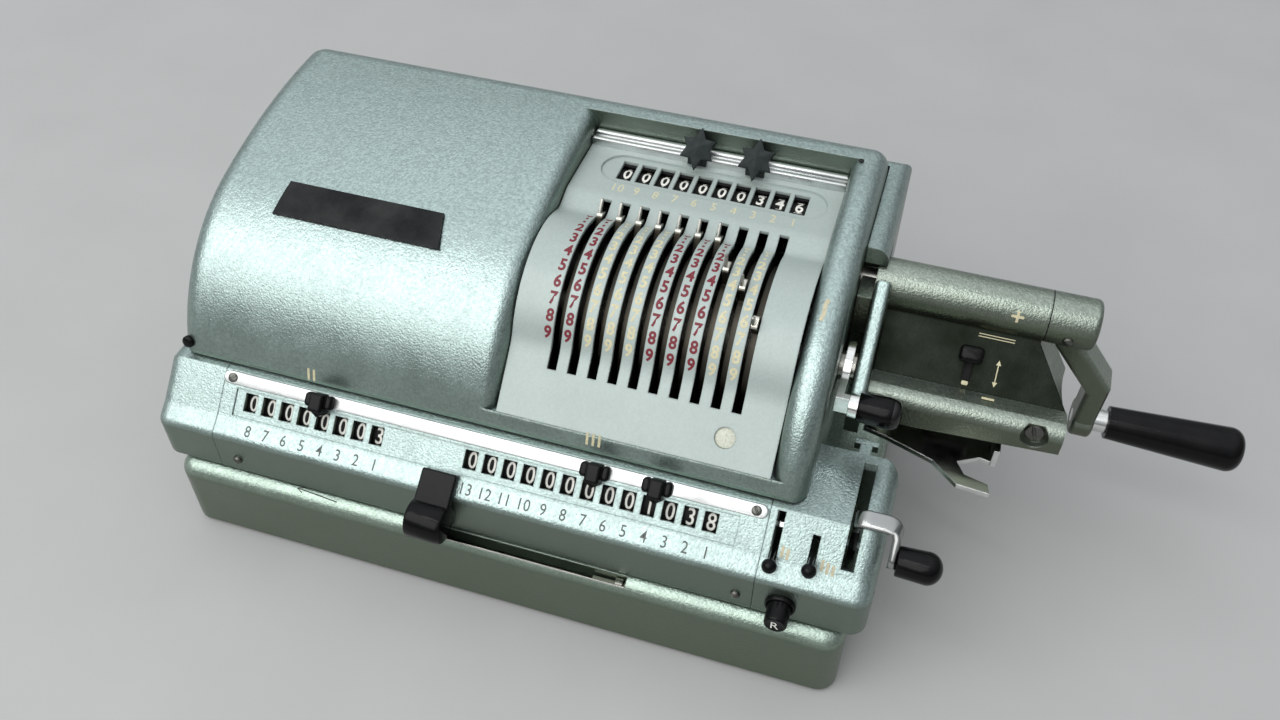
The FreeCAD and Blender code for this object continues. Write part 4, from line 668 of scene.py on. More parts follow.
def paint(name, colour, grain, depth, rough, metallic, coat, wear, dust, fleck=0.2, grime=1.0):
    """Beaten or satin paint over metal, duller on its upright sides, with painted shade making them darker."""
    tree, shader = new_material(name, colour, Metallic=metallic, Coat_Weight=coat, Coat_Roughness=0.25)
    grains = effect(tree, "hammer_grain", Size=grain)
    edges = effect(tree, "worn_edge", Radius=0.7 * MM, Wear=wear)
    film = effect(tree, "settled_dust", Amount=dust)
    body = blend(grains["Fleck"], shade(colour, 1 - fleck), shade(colour, 1 + fleck))
    body = blend(film["Mask"], body, (0.5, 0.52, 0.48))
    # Painted shade: a darker, more olive copy of the paint where a face looks sideways or down.
    body = blend(times(film["Painted_shade"], grime), body, shade(colour, 0.42, 0.42, 0.36))
    body = blend(edges["Mask"], body, (0.55, 0.56, 0.53))
    dull = spread(film["Smudge"], 0, 1, rough - 0.05, rough + 0.08)
    return tree, shader, dress(shader, body, dull, grains["Height"], depth, 1.0, Normal=edges["Normal"])


def metal(name, colour, rough, lines, worn):
    """Bare metal with drawn lines, dulled patches and bright edges."""
    tree, shader = new_material(name, colour, Metallic=1.0)
    drawn = effect(tree, "drawn_lines", Size=lines)
    edges = effect(tree, "worn_edge", Radius=0.4 * MM, Wear=0.8)
    film = effect(tree, "settled_dust", Amount=0.25)
    body = blend(drawn["Shade"], shade(colour, 0.82), shade(colour, 1.08))
    body = blend(film["Mask"], body, (0.3, 0.29, 0.26))
    body = blend(edges["Mask"], body, worn)
    dull = spread(film["Smudge"], 0, 1, rough * 0.7, rough * 1.3)
    dull = plus(dull, spread(film["Mask"], 0, 1, 0.0, 0.4))
    dress(shader, body, dull, drawn["Height"], 0.02, 0.5, Normal=edges["Normal"])
    return tree, shader


def moulded(name, colour, rough, worn, dust, gloss=0.14):
    """Moulded plastic or enamel: faint orange peel, smudges, dust and paler edges."""
    tree, shader = new_material(name, colour, Specular_IOR_Level=gloss)
    grains = effect(tree, "hammer_grain", Size=2.5)
    edges = effect(tree, "worn_edge", Radius=0.5 * MM, Wear=0.6)
    film = effect(tree, "settled_dust", Amount=dust)
    body = blend(grains["Fleck"], shade(colour, 0.8), shade(colour, 1.25))
    body = blend(film["Mask"], body, (0.16, 0.16, 0.15))
    body = blend(edges["Mask"], body, worn)
    dull = spread(film["Smudge"], 0, 1, rough * 0.7, rough * 1.4)
    dress(shader, body, dull, grains["Height"], 0.03, 0.35, Normal=edges["Normal"])


def figure_paint(name, colour, under, loss):
    """Paint rubbed into figures and marks, partly worn back to what is under it."""
    tree, shader = new_material(name, colour)
    grains = effect(tree, "hammer_grain", Size=0.5)
    film = effect(tree, "settled_dust", Amount=0.4)
    body = blend(grains["Fleck"], shade(colour, 0.85), shade(colour, 1.1))
    body = blend(spread(grains["Height"], 1.15 - loss, 1.3 - loss), body, under)
    dress(shader, body, spread(film["Smudge"], 0, 1, 0.4, 0.6), grains["Height"], 0.02, 0.4)


def recolour(shader, mask, colour, **values):
    """Blends a colour, and plain values, into a finished material where a mask is white."""
    under = shader.inputs["Base Color"].links[0].from_socket
    mixed = {"Base Color": blend(mask, under, colour)}
    for key, value in values.items():
        socket = shader.inputs[key]
        old = socket.links[0].from_socket if socket.links else socket.default_value
        mixed[key] = node("ShaderNodeMix", {"Factor": mask, "A": old, "B": value}, data_type="FLOAT").outputs[0]
    fill(shader.inputs, mixed)


def beyond(tree, axis, low, high):
    """How far out from an axis along X a place is: nought at the low radius, one at the high."""
    off = vector("SUBTRACT", object_place(tree), at(0, *axis))
    across = vector("MULTIPLY", off, (0, 1, 1))
    return spread(vector("LENGTH", across), low * MM, high * MM)


def past(tree, x):
    """One beyond a place along X, nought before it."""
    edge = at(x, 0, 0).x
    return spread(component(object_place(tree), "X"), edge, edge + 0.1 * MM)


def colour_setting(name, description, *levels):
    """A colour that a user can change, its default as read on a screen."""
    return FloatVectorProperty(
        name=name, description=description, subtype="COLOR", default=srgb(*levels), min=0, max=1,
    )


def size_setting(name, description, default, low, high):
    """A size in metres that a user can change between limits."""
    return FloatProperty(
        name=name, description=description, subtype="DISTANCE", unit="LENGTH", default=default, min=low, max=high,
    )


class MachineColours(bpy.types.PropertyGroup):
    """Colours of the painted and moulded pieces."""

    casing: colour_setting("Casing", "Beaten paint of casing, carriage and base", 166, 184, 181)
    plate: colour_setting("Setting plate", "Satin paint of the setting plate", 172, 184, 180)
    # The crank housing's colour: its own paint, made a little darker as painted shade.
    housing: colour_setting("Crank housing", "Beaten paint of the crank housing", 148, 158, 147)
    plastic: colour_setting("Black plastic", "Knobs, grips and riders", 9, 9, 10)
    red: colour_setting("Red figures", "Figures of every other group of columns", 122, 30, 44)
    cream: colour_setting("Cream figures", "Remaining figures, bars and marks", 214, 206, 170)


class MachineSizes(bpy.types.PropertyGroup):
    """Sizes of the figures and of the paint's grain."""

    setting_figure: size_setting("Setting figures", "Height of the figures beside the slots", 0.0043, 0.002, 0.005)
    place_figure: size_setting("Place figures", "Height of the figures under the windows", 0.0042, 0.002, 0.005)
    dial_figure: size_setting("Dial figures", "Height of the figures on the dials", 0.0060, 0.003, 0.0062)
    grain: size_setting("Paint grain", "Size of the cells in the beaten paint", 0.0007, 0.0004, 0.003)


class MACHINE_OT_finishes(bpy.types.Operator):
    """Make the materials and put them on the frame's pieces"""

    bl_idname = "machine.finishes"
    bl_label = "Finishes"

    def paints(self, colours, grain):
        casing, beaten = tuple(colours.casing), {"metallic": 0.9, "rough": 0.32, "coat": 0.2}
        paint("hammertone", casing, grain, depth=0.09, wear=0.5, dust=0.08, **beaten)
        # Painted shade: the base is a darker, more olive copy of the casing paint.
        paint("base_paint_painted_shade", shade(casing, 0.9, 0.9, 0.8), grain, depth=0.08, wear=0.7, dust=0.1, **beaten)
        paint("plate_paint", tuple(colours.plate), 0.8 * grain, depth=0.006, rough=0.4, metallic=0.15, coat=0.1,
              wear=0.3, dust=0.1, fleck=0.05, grime=0.0)
        self.housing(tuple(colours.housing), grain)

    def housing(self, colour, grain):
        """Beaten paint; the sloping panel smooth and made dark as a painted reflection, the inside of the knob's slot
        black as painted shade.
        """
        tree, shader, bump = paint(
            "housing_paint", colour, grain, depth=0.1, rough=0.3, metallic=0.9, coat=0.0, wear=0.6, dust=0.15,
        )
        patch = panel(0, 0)
        top = patch(0, 0, 0)
        off = vector("SUBTRACT", object_place(tree), top)
        lift = vector("DOT_PRODUCT", off, (patch(0, 0, 1) - top).normalized())
        down = vector("DOT_PRODUCT", off, (patch(0, -1, 0) - top).normalized())
        # Painted reflection: the sloping panel is made dark, as a dark reflection lies across it, and its grain is
        # smoothed.
        cloud = noise(scaled_place(tree, 9.0), 5.0)[0]
        face = times(within(lift, 0.0, 0.1), spread(cloud, 0.3, 0.7, 0.96, 1.0))
        recolour(shader, face, srgb(28, 32, 26), Metallic=1.0, Roughness=0.45)
        rough = bump.inputs["Height"].links[0].from_socket
        kept = minus(1.0, times(face, 0.6))
        fill(bump.inputs, {"Height": times(rough, kept)})
        # Painted shade: the inside walls of the knob's slot are painted black.
        across, out, along = (within(v, *span) for v, span in zip((component(off, "X"), lift, down), KNOB_SLOT))
        recolour(shader, times(times(across, out), along), srgb(10, 10, 9), Metallic=0.0, Roughness=0.9)

    def metals(self, plastic):
        bright = (srgb(226, 227, 225), 0.14, 0.3, (0.9, 0.9, 0.88))
        grip = {"Metallic": 0.0, "Roughness": 0.25}
        metal("bright_metal", *bright)
        metal("steel", srgb(168, 166, 160), 0.32, 0.25, (0.75, 0.74, 0.7))
        metal("dark_steel", srgb(104, 104, 100), 0.3, 0.25, (0.5, 0.5, 0.48))
        metal("rail_aluminium", srgb(222, 224, 224), 0.3, 0.2, (0.9, 0.9, 0.9))
        # Painted shade: the setting levers are dark inside their slots, bright metal only out at the tips.
        tree, shader = metal("lever_metal", srgb(70, 66, 58), 0.4, 0.25, (0.3, 0.28, 0.24))
        recolour(shader, beyond(tree, DRUM, *LEVER_SHADE_EDGE), srgb(205, 203, 192), Roughness=0.25)
        # Painted shade: the register-clearing lever is dark near its pivot, inside its slot, and bright chrome
        # beyond.
        tree, shader = metal("clear_metal_painted_shade", srgb(24, 24, 24), 0.5, 0.25, (0.06, 0.06, 0.06))
        recolour(shader, beyond(tree, CLEAR_PIVOT, *CLEAR_SHADE_EDGE), srgb(158, 159, 158), Roughness=0.14)
        recolour(shader, past(tree, CLEAR_GRIP[0]), plastic, **grip)
        tree, shader = metal("reset_metal", *bright)
        recolour(shader, past(tree, RESET_GRIP[0]), plastic, **grip)

    def mouldings(self, plastic):
        moulded("black_plastic", plastic, 0.16, (0.04, 0.04, 0.04), 0.03, gloss=0.16)
        moulded("charcoal_plastic", srgb(44, 50, 50), 0.4, (0.12, 0.13, 0.13), 0.1)
        moulded("dial_black", srgb(14, 14, 14), 0.45, (0.03, 0.03, 0.03), 0.1)
        moulded("foot_rubber", srgb(38, 38, 38), 0.65, (0.06, 0.06, 0.06), 0.5)
        moulded("plate_enamel", srgb(24, 25, 27), 0.42, (0.45, 0.45, 0.42), 0.2)

    def figures(self, colours):
        casing, plate = tuple(colours.casing), tuple(colours.plate)
        figure_paint("figure_red", tuple(colours.red), plate, 0.0)
        figure_paint("figure_cream", tuple(colours.cream), plate, 0.08)
        figure_paint("figure_white", srgb(236, 234, 226), srgb(120, 118, 112), -0.1)
        figure_paint("figure_grey", srgb(92, 99, 95), casing, -0.05)
        figure_paint("mark_worn", srgb(204, 194, 164), casing, 0.14)
        figure_paint("recess_cream", srgb(214, 216, 200), srgb(160, 168, 158), 0.05)
        # Black paint: the arrow on the ledge is print; on the cheek's hole and the sheet under the knob's slot it is
        # painted shade.
        figure_paint("black_print_and_painted_shade", srgb(12, 13, 13), srgb(30, 30, 28), -0.1)

    def execute(self, context):
        colours = context.scene.machine_colours
        plastic = tuple(colours.plastic)
        for make in (hammer_grain, worn_edge, settled_dust, drawn_lines):
            make()
        self.paints(colours, context.scene.machine_sizes.grain / MM)
        self.metals(plastic)
        self.mouldings(plastic)
        self.figures(colours)
        special = {
            "base_tray": "base_paint_painted_shade", "register_clear_lever": "clear_metal_painted_shade", "setting_clear_lever": "reset_metal",
            "step_lever": "bright_metal",
        }
        for name, obj in frame["nodes"].items():
            for holder in obj.material_slots:
                finish = special.get(name, holder.material.name.split(".")[0])
                if name.startswith("setting_lever"):
                    finish = "lever_metal"
                holder.material = FINISHES[finish]
        return {"FINISHED"}


class MACHINE_OT_setting_figures(bpy.types.Operator):
    """Figures 0 to 9 beside each slot and place figures under the check windows"""

    bl_idname = "machine.setting_figures"
    bl_label = "Setting figures"

    def execute(self, context):
        sizes = context.scene.machine_sizes
        tall, place_tall = sizes.setting_figure / MM, sizes.place_figure / MM
        red, cream = [], []
        for place in range(COLUMNS):
            figures = red if place in RED_COLUMNS else cream
            x = column(place) + SLOT_SHIFT - PITCH / 2
            for digit in range(10):
                figures += stamp(str(digit), setting(x, digit), tall, 0.9, 0.03, lift=0.07)
            patch = flat(column(place) + CHECK_SHIFT, CHECK_PLACE_Y, PLATE_FLAT)
            cream += stamp(str(place + 1), patch, place_tall, 0.8, 0.0)
        piece("setting_figures_red", red, "figure_red", "frame")
        piece("setting_figures_cream", cream, "figure_cream", "frame")
        return {"FINISHED"}


class MACHINE_OT_dial_figures(bpy.types.Operator):
    """White figures round every check, result and counter dial"""

    bl_idname = "machine.dial_figures"
    bl_label = "Dial figures"

    def ring(self, x, axis, radius, shown, facing, tall, weight):
        figures = []
        for digit in range(10):
            patch = arched(x, axis, radius, facing - DIAL_STEP_DEG * (digit - int(shown)))
            figures += stamp(str(digit), patch, tall, 0.8, weight, lift=0.07, rows=FIGURE_ROWS)
        return figures

    def execute(self, context):
        tall = context.scene.machine_sizes.dial_figure / MM
        check_tall = CHECK_FIGURE_SHARE * tall
        for place, shown in enumerate(CHECK_DIGITS):
            x, number = column(place) + CHECK_SHIFT, f"{place + 1:02d}"
            figures = self.ring(x, CHECK_AXIS, CHECK_RADIUS, shown, CHECK_FACING_DEG, check_tall, 0.02)
            piece(f"check_figures_{number}", figures, "figure_white", f"check_dial_{number}")
        axis = slope_point(0, -DIAL_DEPTH)
        for name, digits, units, _ in REGISTERS:
            figures = []
            for place, shown in enumerate(digits):
                figures += self.ring(column(units + place), axis, DIAL_RADIUS, shown, DIAL_FACING_DEG, tall, 0.01)
            piece(f"{name}_figures", figures, "figure_white", f"{name}_dials")
        return {"FINISHED"}


class MACHINE_OT_windows(bpy.types.Operator):
    """Black masks in the check windows and place figures on the carriage"""

    bl_idname = "machine.windows"
    bl_label = "Windows"

    def execute(self, context):
        tall = context.scene.machine_sizes.place_figure / MM
        middle = column((COLUMNS - 1) / 2) + CHECK_SHIFT
        masks = [
            (prism(oblong(PITCH * COLUMNS, width, 0.2, 2), low, high, 0.05, 1), flat(middle, y, PLATE_FLAT))
            for y, width, low, high in CHECK_MASKS
        ]
        piece("check_masks", masks, "dial_black", "frame")
        figures = []
        for _, digits, units, shift in REGISTERS:
            for place in range(len(digits)):
                patch = band(column(units + place) + shift, BAND_FIGURE_DOWN)
                figures += stamp(str(place + 1), patch, tall, 0.85, 0.004)
        piece("carriage_figures", figures, "figure_grey", "carriage")
        return {"FINISHED"}


class MACHINE_OT_rails(bpy.types.Operator):
    """Round-ended carriage rail and grooved upper rail with their screws"""

    bl_idname = "machine.rails"
    bl_label = "Rails"

    def execute(self, context):
        left, right = RAIL_ENDS
        rail = prism(oblong(right - left, RAIL_WIDTH, 2.2, 8), 0, RAIL_HEIGHT, 0.35)
        parts = [(rail, slope((left + right) / 2, RAIL_MIDDLE))]
        obj = piece("round_carriage_rail", parts, "rail_aluminium", "carriage")
        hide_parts("carriage_rail")
        left, right = UPPER_RAIL_ENDS
        parts = []
        for place, width, share, edge in UPPER_RAIL_STRIPS:
            rail = prism(oblong(right - left, width, 0.2, 2), 0, UPPER_RAIL_HEIGHT * share, edge)
            parts.append((rail, flat((left + right) / 2, UPPER_RAIL_Y + place, PLATE_FLAT)))
        obj = piece("grooved_upper_rail", parts, "rail_aluminium", "frame")
        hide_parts("upper_rail")
        screws = [
            (screw_head(1.7, 0.5, 0.25, 0.5, turn), slope(x, RAIL_MIDDLE, RAIL_HEIGHT)) for x, turn in RAIL_SCREWS
        ]
        screws += [
            (screw_head(1.7, 1.5, 1.2, 0.5, turn), upright(x, CARRIAGE_FRONT, FRONT_SCREW_Z))
            for x, turn in FRONT_SCREWS
        ]
        piece("carriage_screws", screws, "dark_steel", "carriage")
        return {"FINISHED"}


class MACHINE_OT_riders(bpy.types.Operator):
    """Star riders on the upper rail and block riders on the carriage's rail"""

    bl_idname = "machine.riders"
    bl_label = "Riders"

    def star(self, x):
        """A six-pointed thumb star leaning to the front, on a shoe over the rail."""
        top = PLATE_FLAT + UPPER_RAIL_HEIGHT
        lean = radians(STAR_LEAN_DEG)
        thumb = bmesh.new()
        tip = thumb.verts.new((0, 0, 3.4))
        low, rim = [], []
        for corner in range(12):
            a = radians(90 + 30 * corner)
            reach = 4.2 if corner % 2 else 7.8 if corner in (0, 6) else 6.8
            for ring, height in ((rim, 1.1 if corner % 2 else 0.7), (low, -0.9)):
                ring.append(thumb.verts.new((reach * cos(a), reach * sin(a), height)))
        skin(thumb, [low, rim, [tip] * 12])
        rounding = [e for e in thumb.edges if tip in e.verts]
        bmesh.ops.bevel(thumb, geom=rounding, offset=0.2, segments=2, profile=0.5, affect="EDGES", clamp_overlap=True)
        apron = [(-3.4, 0), (3.4, 0), (3.4, UPPER_RAIL_HEIGHT + 1.6), (-3.4, UPPER_RAIL_HEIGHT + 1.6)]
        return [
            (thumb, flat(x, UPPER_RAIL_Y, top + 3.0, (0, cos(lean), sin(lean)))),
            (prism(oblong(7.0, 7.0, 0.8), 0, 2.6, 0.5), flat(x, UPPER_RAIL_Y + 2.2, top + RIDER_GAP)),
            (prism(apron, 0, 1.3, 0.3), upright(x, UPPER_RAIL_Y - 0.12, PLATE_FLAT + 0.35)),
        ]

    def block(self, x):
        """A block with two ears over the rail and a pointed tongue in front of it."""
        patch = slope(x, RAIL_MIDDLE, RAIL_HEIGHT + RIDER_GAP)
        parts = [(prism(oblong(5.0, 6.6, 0.7), 0, 5.0, 1.0, 4), moved(patch, up=-1.0))]
        for side in (-3.6, 3.6):
            parts.append((prism(oblong(3.0, 5.0, 1.4), 0, 3.0, 1.0, 4), moved(patch, side, -0.4)))
        tongue = [(-2.4, 1.4), (-2.4, -0.6), (0, -2.2), (2.4, -0.6), (2.4, 1.4)]
        return parts + [(prism(tongue, 0, 3.6, 0.5), slope(x, RAIL_LOW - 1.6, 0.35))]

    def execute(self, context):
        for number, x in enumerate(STAR_RIDERS, 1):
            body = f"upper_rider_{number}"
            obj = piece(f"star_rider_{number}", self.star(x), "charcoal_plastic", body, angle=24)
            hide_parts(f"upper_rider_{number}")
        for number, x in enumerate(BLOCK_RIDERS, 1):
            body = f"carriage_rider_{number}"
            obj = piece(f"block_rider_{number}", self.block(x), "black_plastic", body)
            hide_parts(f"carriage_rider_{number}")
        return {"FINISHED"}


class MACHINE_OT_casing_trim(bpy.types.Operator):
    """Bare name plate, bars, marks and plugs of the casing and setting plate"""

    bl_idname = "machine.casing_trim"
    bl_label = "Casing trim"

    def execute(self, context):
        outline = []
        for (ua, va), (ub, vb) in zip(NAME_PLATE, NAME_PLATE[1:] + NAME_PLATE[:1]):
            outline += [(ua + (ub - ua) * k / 8, va + (vb - va) * k / 8) for k in range(8)]
        spot = case(*NAME_PLATE_SPOT)
        plate = [(prism(outline, -0.6, 1.1, 0.3), lambda u, v, n: spot(u - NAME_PLATE_LEAN * v, v, n))]
        piece("name_plate_enamel", plate, "plate_enamel", "frame")
        plug = turned([(2.2, -0.8), (2.2, 0.5), (1.9, 0.9), (1.2, 1.1), (0, 1.15)], 24)
        piece("hem_plug", [(plug, case(*HEM_PLUG))], "black_plastic", "frame")
        # Painted shade: a dark disc stands for the small hole in the cheek.
        hole = turned([(1.0, -0.3), (1.0, 0.04), (0.8, 0.06), (0, 0.06)], 20)
        piece("cheek_hole_painted_shade", [(hole, flat(*CHEEK_HOLE))], "black_print_and_painted_shade", "frame")
        disc = turned([(3.43, -1.7), (3.43, -0.85), (2.9, -0.6), (0, -0.55)], 32)
        disc = [(part, plate_foot(*RECESS)) for part in (disc, prism(oblong(0.5, 3.2, 0.2), -0.65, -0.45))]
        piece("recess_disc", disc, "recess_cream", "frame")
        bars = [
            (mark(oblong(0.9, 4.6, 0.3), 0.08, 0.03), case(x + shift, phi))
            for x, count, phi in CASE_BARS for shift in centred(count, 2.1)
        ]
        piece("case_bars", bars, "figure_cream", "frame")
        stroke = mark(ribbon([(-0.6, -4), (0, -1.5), (-0.2, 1.5), (0.4, 4)], 1.3), 0.07)
        piece("cheek_mark", [(stroke, case(*CHEEK_MARK))], "mark_worn", "frame")
        return {"FINISHED"}


class MACHINE_OT_base_trim(bpy.types.Operator):
    """Edging and stop of the base's groove, arrow on the ledge"""

    bl_idname = "machine.base_trim"
    bl_label = "Base trim"

    def execute(self, context):
        edging = turned([(EDGING_RADIUS, EDGING_LENGTH * share) for share in (0, 0.5, 1)], 12)
        stop = flat(*GROOVE_STOP)
        bars = [
            (edging, flat(*EDGING, up=(0, -1, 1), right=(0, 1, 1))),
            (prism(oblong(12.5, 1.8, 0.3), 0, 3.6, 0.3), stop),
            (prism(oblong(3.0, 2.6, 0.3), 0, 5.4, 0.3), moved(stop, 3.4)),
        ]
        piece("groove_edging", bars, "steel", "frame")
        x, phi = LEDGE_ARROW
        shaft, head = [(-8, 0.6), (-3, 0.25), (3, -0.2), (8, -0.6)], [(-5.6, 1.6), (-8.3, 0.6), (-5.9, -0.6)]
        arrow = [(mark(ribbon(line, 0.4), 0.06), arched(x, *BASE_ROUND, phi)) for line in (shaft, head)]
        piece("ledge_arrow", arrow, "black_print_and_painted_shade", "frame")
        return {"FINISHED"}


class MACHINE_OT_levers(bpy.types.Operator):
    """Lever tips, black balls, grips and knobs"""

    bl_idname = "machine.levers"
    bl_label = "Levers"

    def tips(self):
        """A bright leaf on each setting lever, its face across the slot."""
        for place, digit in enumerate(CHECK_DIGITS):
            patch, number = setting(column(place) + TIP_SHIFT, int(digit)), f"{place + 1:02d}"
            leaf = [(prism(TIP_LEAF, -0.4, 0.4, 0.2), lambda a, b, c: patch(c, a, b))]
            piece(f"lever_tip_{number}", leaf, "steel", f"setting_lever_{number}")

    def clear_arm(self):
        """The register-clearing lever: a chromed bar out of its slot, twisted down to the grip."""
        hub = turned([(2.62, -1.2), (2.62, 1.2), (5.0, 1.2), (5.0, -1.2)], 32, closed=True)
        lean = radians(CLEAR_REST_DEG)
        radial = Vector((0, cos(lean), sin(lean)))
        pivot = Vector((CLEAR_X, *CLEAR_PIVOT))
        grip = Vector(CLEAR_GRIP) - Vector((1.3, 0, 0))
        bend = pivot + radial * CLEAR_BAR
        corners = [pivot + radial * 4.0, bend, Vector((grip.x, bend.y, bend.z)), grip]
        bar = strip(corners, [Vector((-1, 0, 0)), radial, Vector((1, 0, 0))], 4.0, oblong(6.0, 2.6, 0.9, 3))
        parts = [(hub, sideways(*pivot)), (bar, at)]
        obj = piece("twisted_clear_lever", parts, "clear_metal_painted_shade", "register_clear_lever")
        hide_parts("register_clear_lever")

    def shift_knob(self):
        """A plate under the figure band with a thick roll at its foot and a stem into the groove."""
        x = SHIFT_KNOB_X
        roll = turned([(5.4, -7.2), (6.4, -6.7), (6.8, -5.8), (6.8, 4.8), (6.4, 5.8), (5.4, 6.3)], 40)
        parts = [
            (prism(oblong(12.6, 12.0, 0.8), 0.45, 3.2, 0.6), band(x, 5.6)),
            (roll, sideways(x, *SHIFT_ROLL)),
            (prism(oblong(8.0, 5.0, 1.0), 33.0, 42.0), flat(x, SHIFT_BOSS_Y, 0)),
            (prism(oblong(2.0, 1.9, 0.3), 25.3, 40.0), flat(x, GROOVE_Y, 0)),
        ]
        obj = piece("roll_shift_knob", parts, "black_plastic", "shift_knob")
        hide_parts("shift_knob")

    def button(self):
        """The transfer button with its letter, in a collar on the carriage's front."""
        patch = upright(BUTTON[0], CARRIAGE_FRONT, BUTTON[1])
        profile = [(6.3, -4.4), (6.3, -3.0), (4.15, -2.9), (4.15, 1.6), (3.9, 2.4), (3.85, 7.6), (3.6, 8.2)]
        profile += [(3.1, 8.5), (2.8, BUTTON_FACE), (0, BUTTON_FACE)]
        button = [(turned(profile, 36), patch)]
        obj = piece("turned_button", button, "black_plastic", "transfer_button")
        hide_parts("transfer_button")
        collar = turned([(4.3, 0), (4.3, 1.5), (4.7, 1.7), (5.05, 1.3), (5.15, 0.5), (5.1, 0)], 36, closed=True)
        piece("button_collar", [(collar, patch)], "black_plastic", "carriage")
        letter = stamp("R", moved(patch, out=BUTTON_FACE), 3.6, 1.0, 0.0)
        piece("button_letter", letter, "figure_white", "transfer_button")

    def selectors(self):
        """Black balls on the two selector levers and the bars beside them."""
        profile = [(1.25, -3.4), (1.35, -2.8), (1.5, -2.2)] + dome(BALL_RADIUS, 0, BALL_RADIUS, range(-52, 90, 8))
        for name, (x, along) in SELECTORS.items():
            ball = [(turned(profile, 36), slope(x, along, BALL_ABOVE))]
            piece(f"{name}_ball", ball, "black_plastic", name)
        bars = [
            (mark(oblong(1.0, 3.8, 0.3), 0.08, 0.03), slope(x + shift, along - 0.5 * bar))
            for x, along, count in SELECTOR_BARS for bar, shift in enumerate(centred(count, 1.8))
        ]
        piece("selector_bars", bars, "mark_worn", "carriage")

    def grips(self):
        """Black grips with a round end and a small shoulder."""
        r, rise = GRIP_RADIUS, 0.9 * GRIP_RADIUS
        for body, (place, length) in GRIPS.items():
            profile = [(0.6 * r, 0), (0.86 * r, 0.05), (0.92 * r, 0.5), (r, length - rise)]
            bullet = turned(profile + dome(r, length - rise, rise, range(10, 90, 10)), 40)
            piece(f"{body}_grip", [(bullet, sideways(*place))], "black_plastic", body)

    def direction_knob(self):
        patch = panel(KNOB_X, KNOB_PLACE)
        parts = (prism(oblong(8.0, 5.8, 1.6), 0.25, 5.4, 1.6, 5), turned([(1.35, -3.2), (1.35, 0.6)], 20))
        knob = [(part, patch) for part in parts]
        obj = piece("square_direction_knob", knob, "black_plastic", "direction_knob")
        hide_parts("direction_knob")

    def execute(self, context):
        self.tips()
        self.clear_arm()
        self.shift_knob()
        self.button()
        self.selectors()
        self.grips()
        self.direction_knob()
        return {"FINISHED"}


class MACHINE_OT_housing_trim(bpy.types.Operator):
    """Marks, a dark sheet of painted shade under the knob's slot, and screws of the crank housing and hub"""

    bl_idname = "machine.housing_trim"
    bl_label = "Housing trim"

    def execute(self, context):
        x, along = PANEL_BARS
        marks = [(mark(oblong(12.0, 0.3, 0.12), 0.06), panel(x, along - v)) for v in (0.45, -0.45)]
        shaft = panel(*PANEL_ARROW)
        marks.append((mark(oblong(0.36, 7.4, 0.15), 0.06), shaft))
        for way in (1, -1):
            tip = [(-0.85, 2.9 * way), (0, 4.6 * way), (0.85, 2.9 * way)]
            marks.append((mark(tip[::-way], 0.07), shaft))
        marks.append((mark(oblong(2.2, 1.4, 0.5), 0.14, 0.05, 3), panel(KNOB_X, PANEL_DOT)))
        piece("panel_marks", marks, "figure_cream", "frame")
        # Painted shade: a dark sheet with two side walls under the knob's slot.
        under = panel(KNOB_X, SHADE_SHEET_PLACE)
        shade_sheet = [(prism(oblong(15.0, 26.0, 1.0), -9.0, -8.2), under)]
        for side in (-7.0, 7.0):
            shade_sheet.append((prism(oblong(1.0, 26.0, 0.2), -8.6, -1.2), moved(under, side)))
        piece("slot_shade_sheet", shade_sheet, "black_print_and_painted_shade", "frame")
        x, phi = PLUS_SIGN
        bar = mark(oblong(4.2, 0.9, 0.3), 0.07)
        signs = [(bar, barrel(x, phi)), (bar, flat(*MINUS_SIGN))]
        signs += [(mark(oblong(0.9, 0.9, 0.2), 0.07), barrel(x, phi + step)) for step in PLUS_STEPS_DEG]
        piece("turn_signs", signs, "figure_cream", "frame")
        pocket = [(screw_head(3.4, 1.3, 0.5, 0.8, 0.3), upright(*POCKET_SCREW))]
        piece("pocket_screw", pocket, "dark_steel", "frame")
        hub = [(screw_head(1.8, 1.1, 0.9, 0.5, 0.9), barrel(*HUB_SCREW))]
        piece("hub_screw", hub, "dark_steel", "crank")
        return {"FINISHED"}


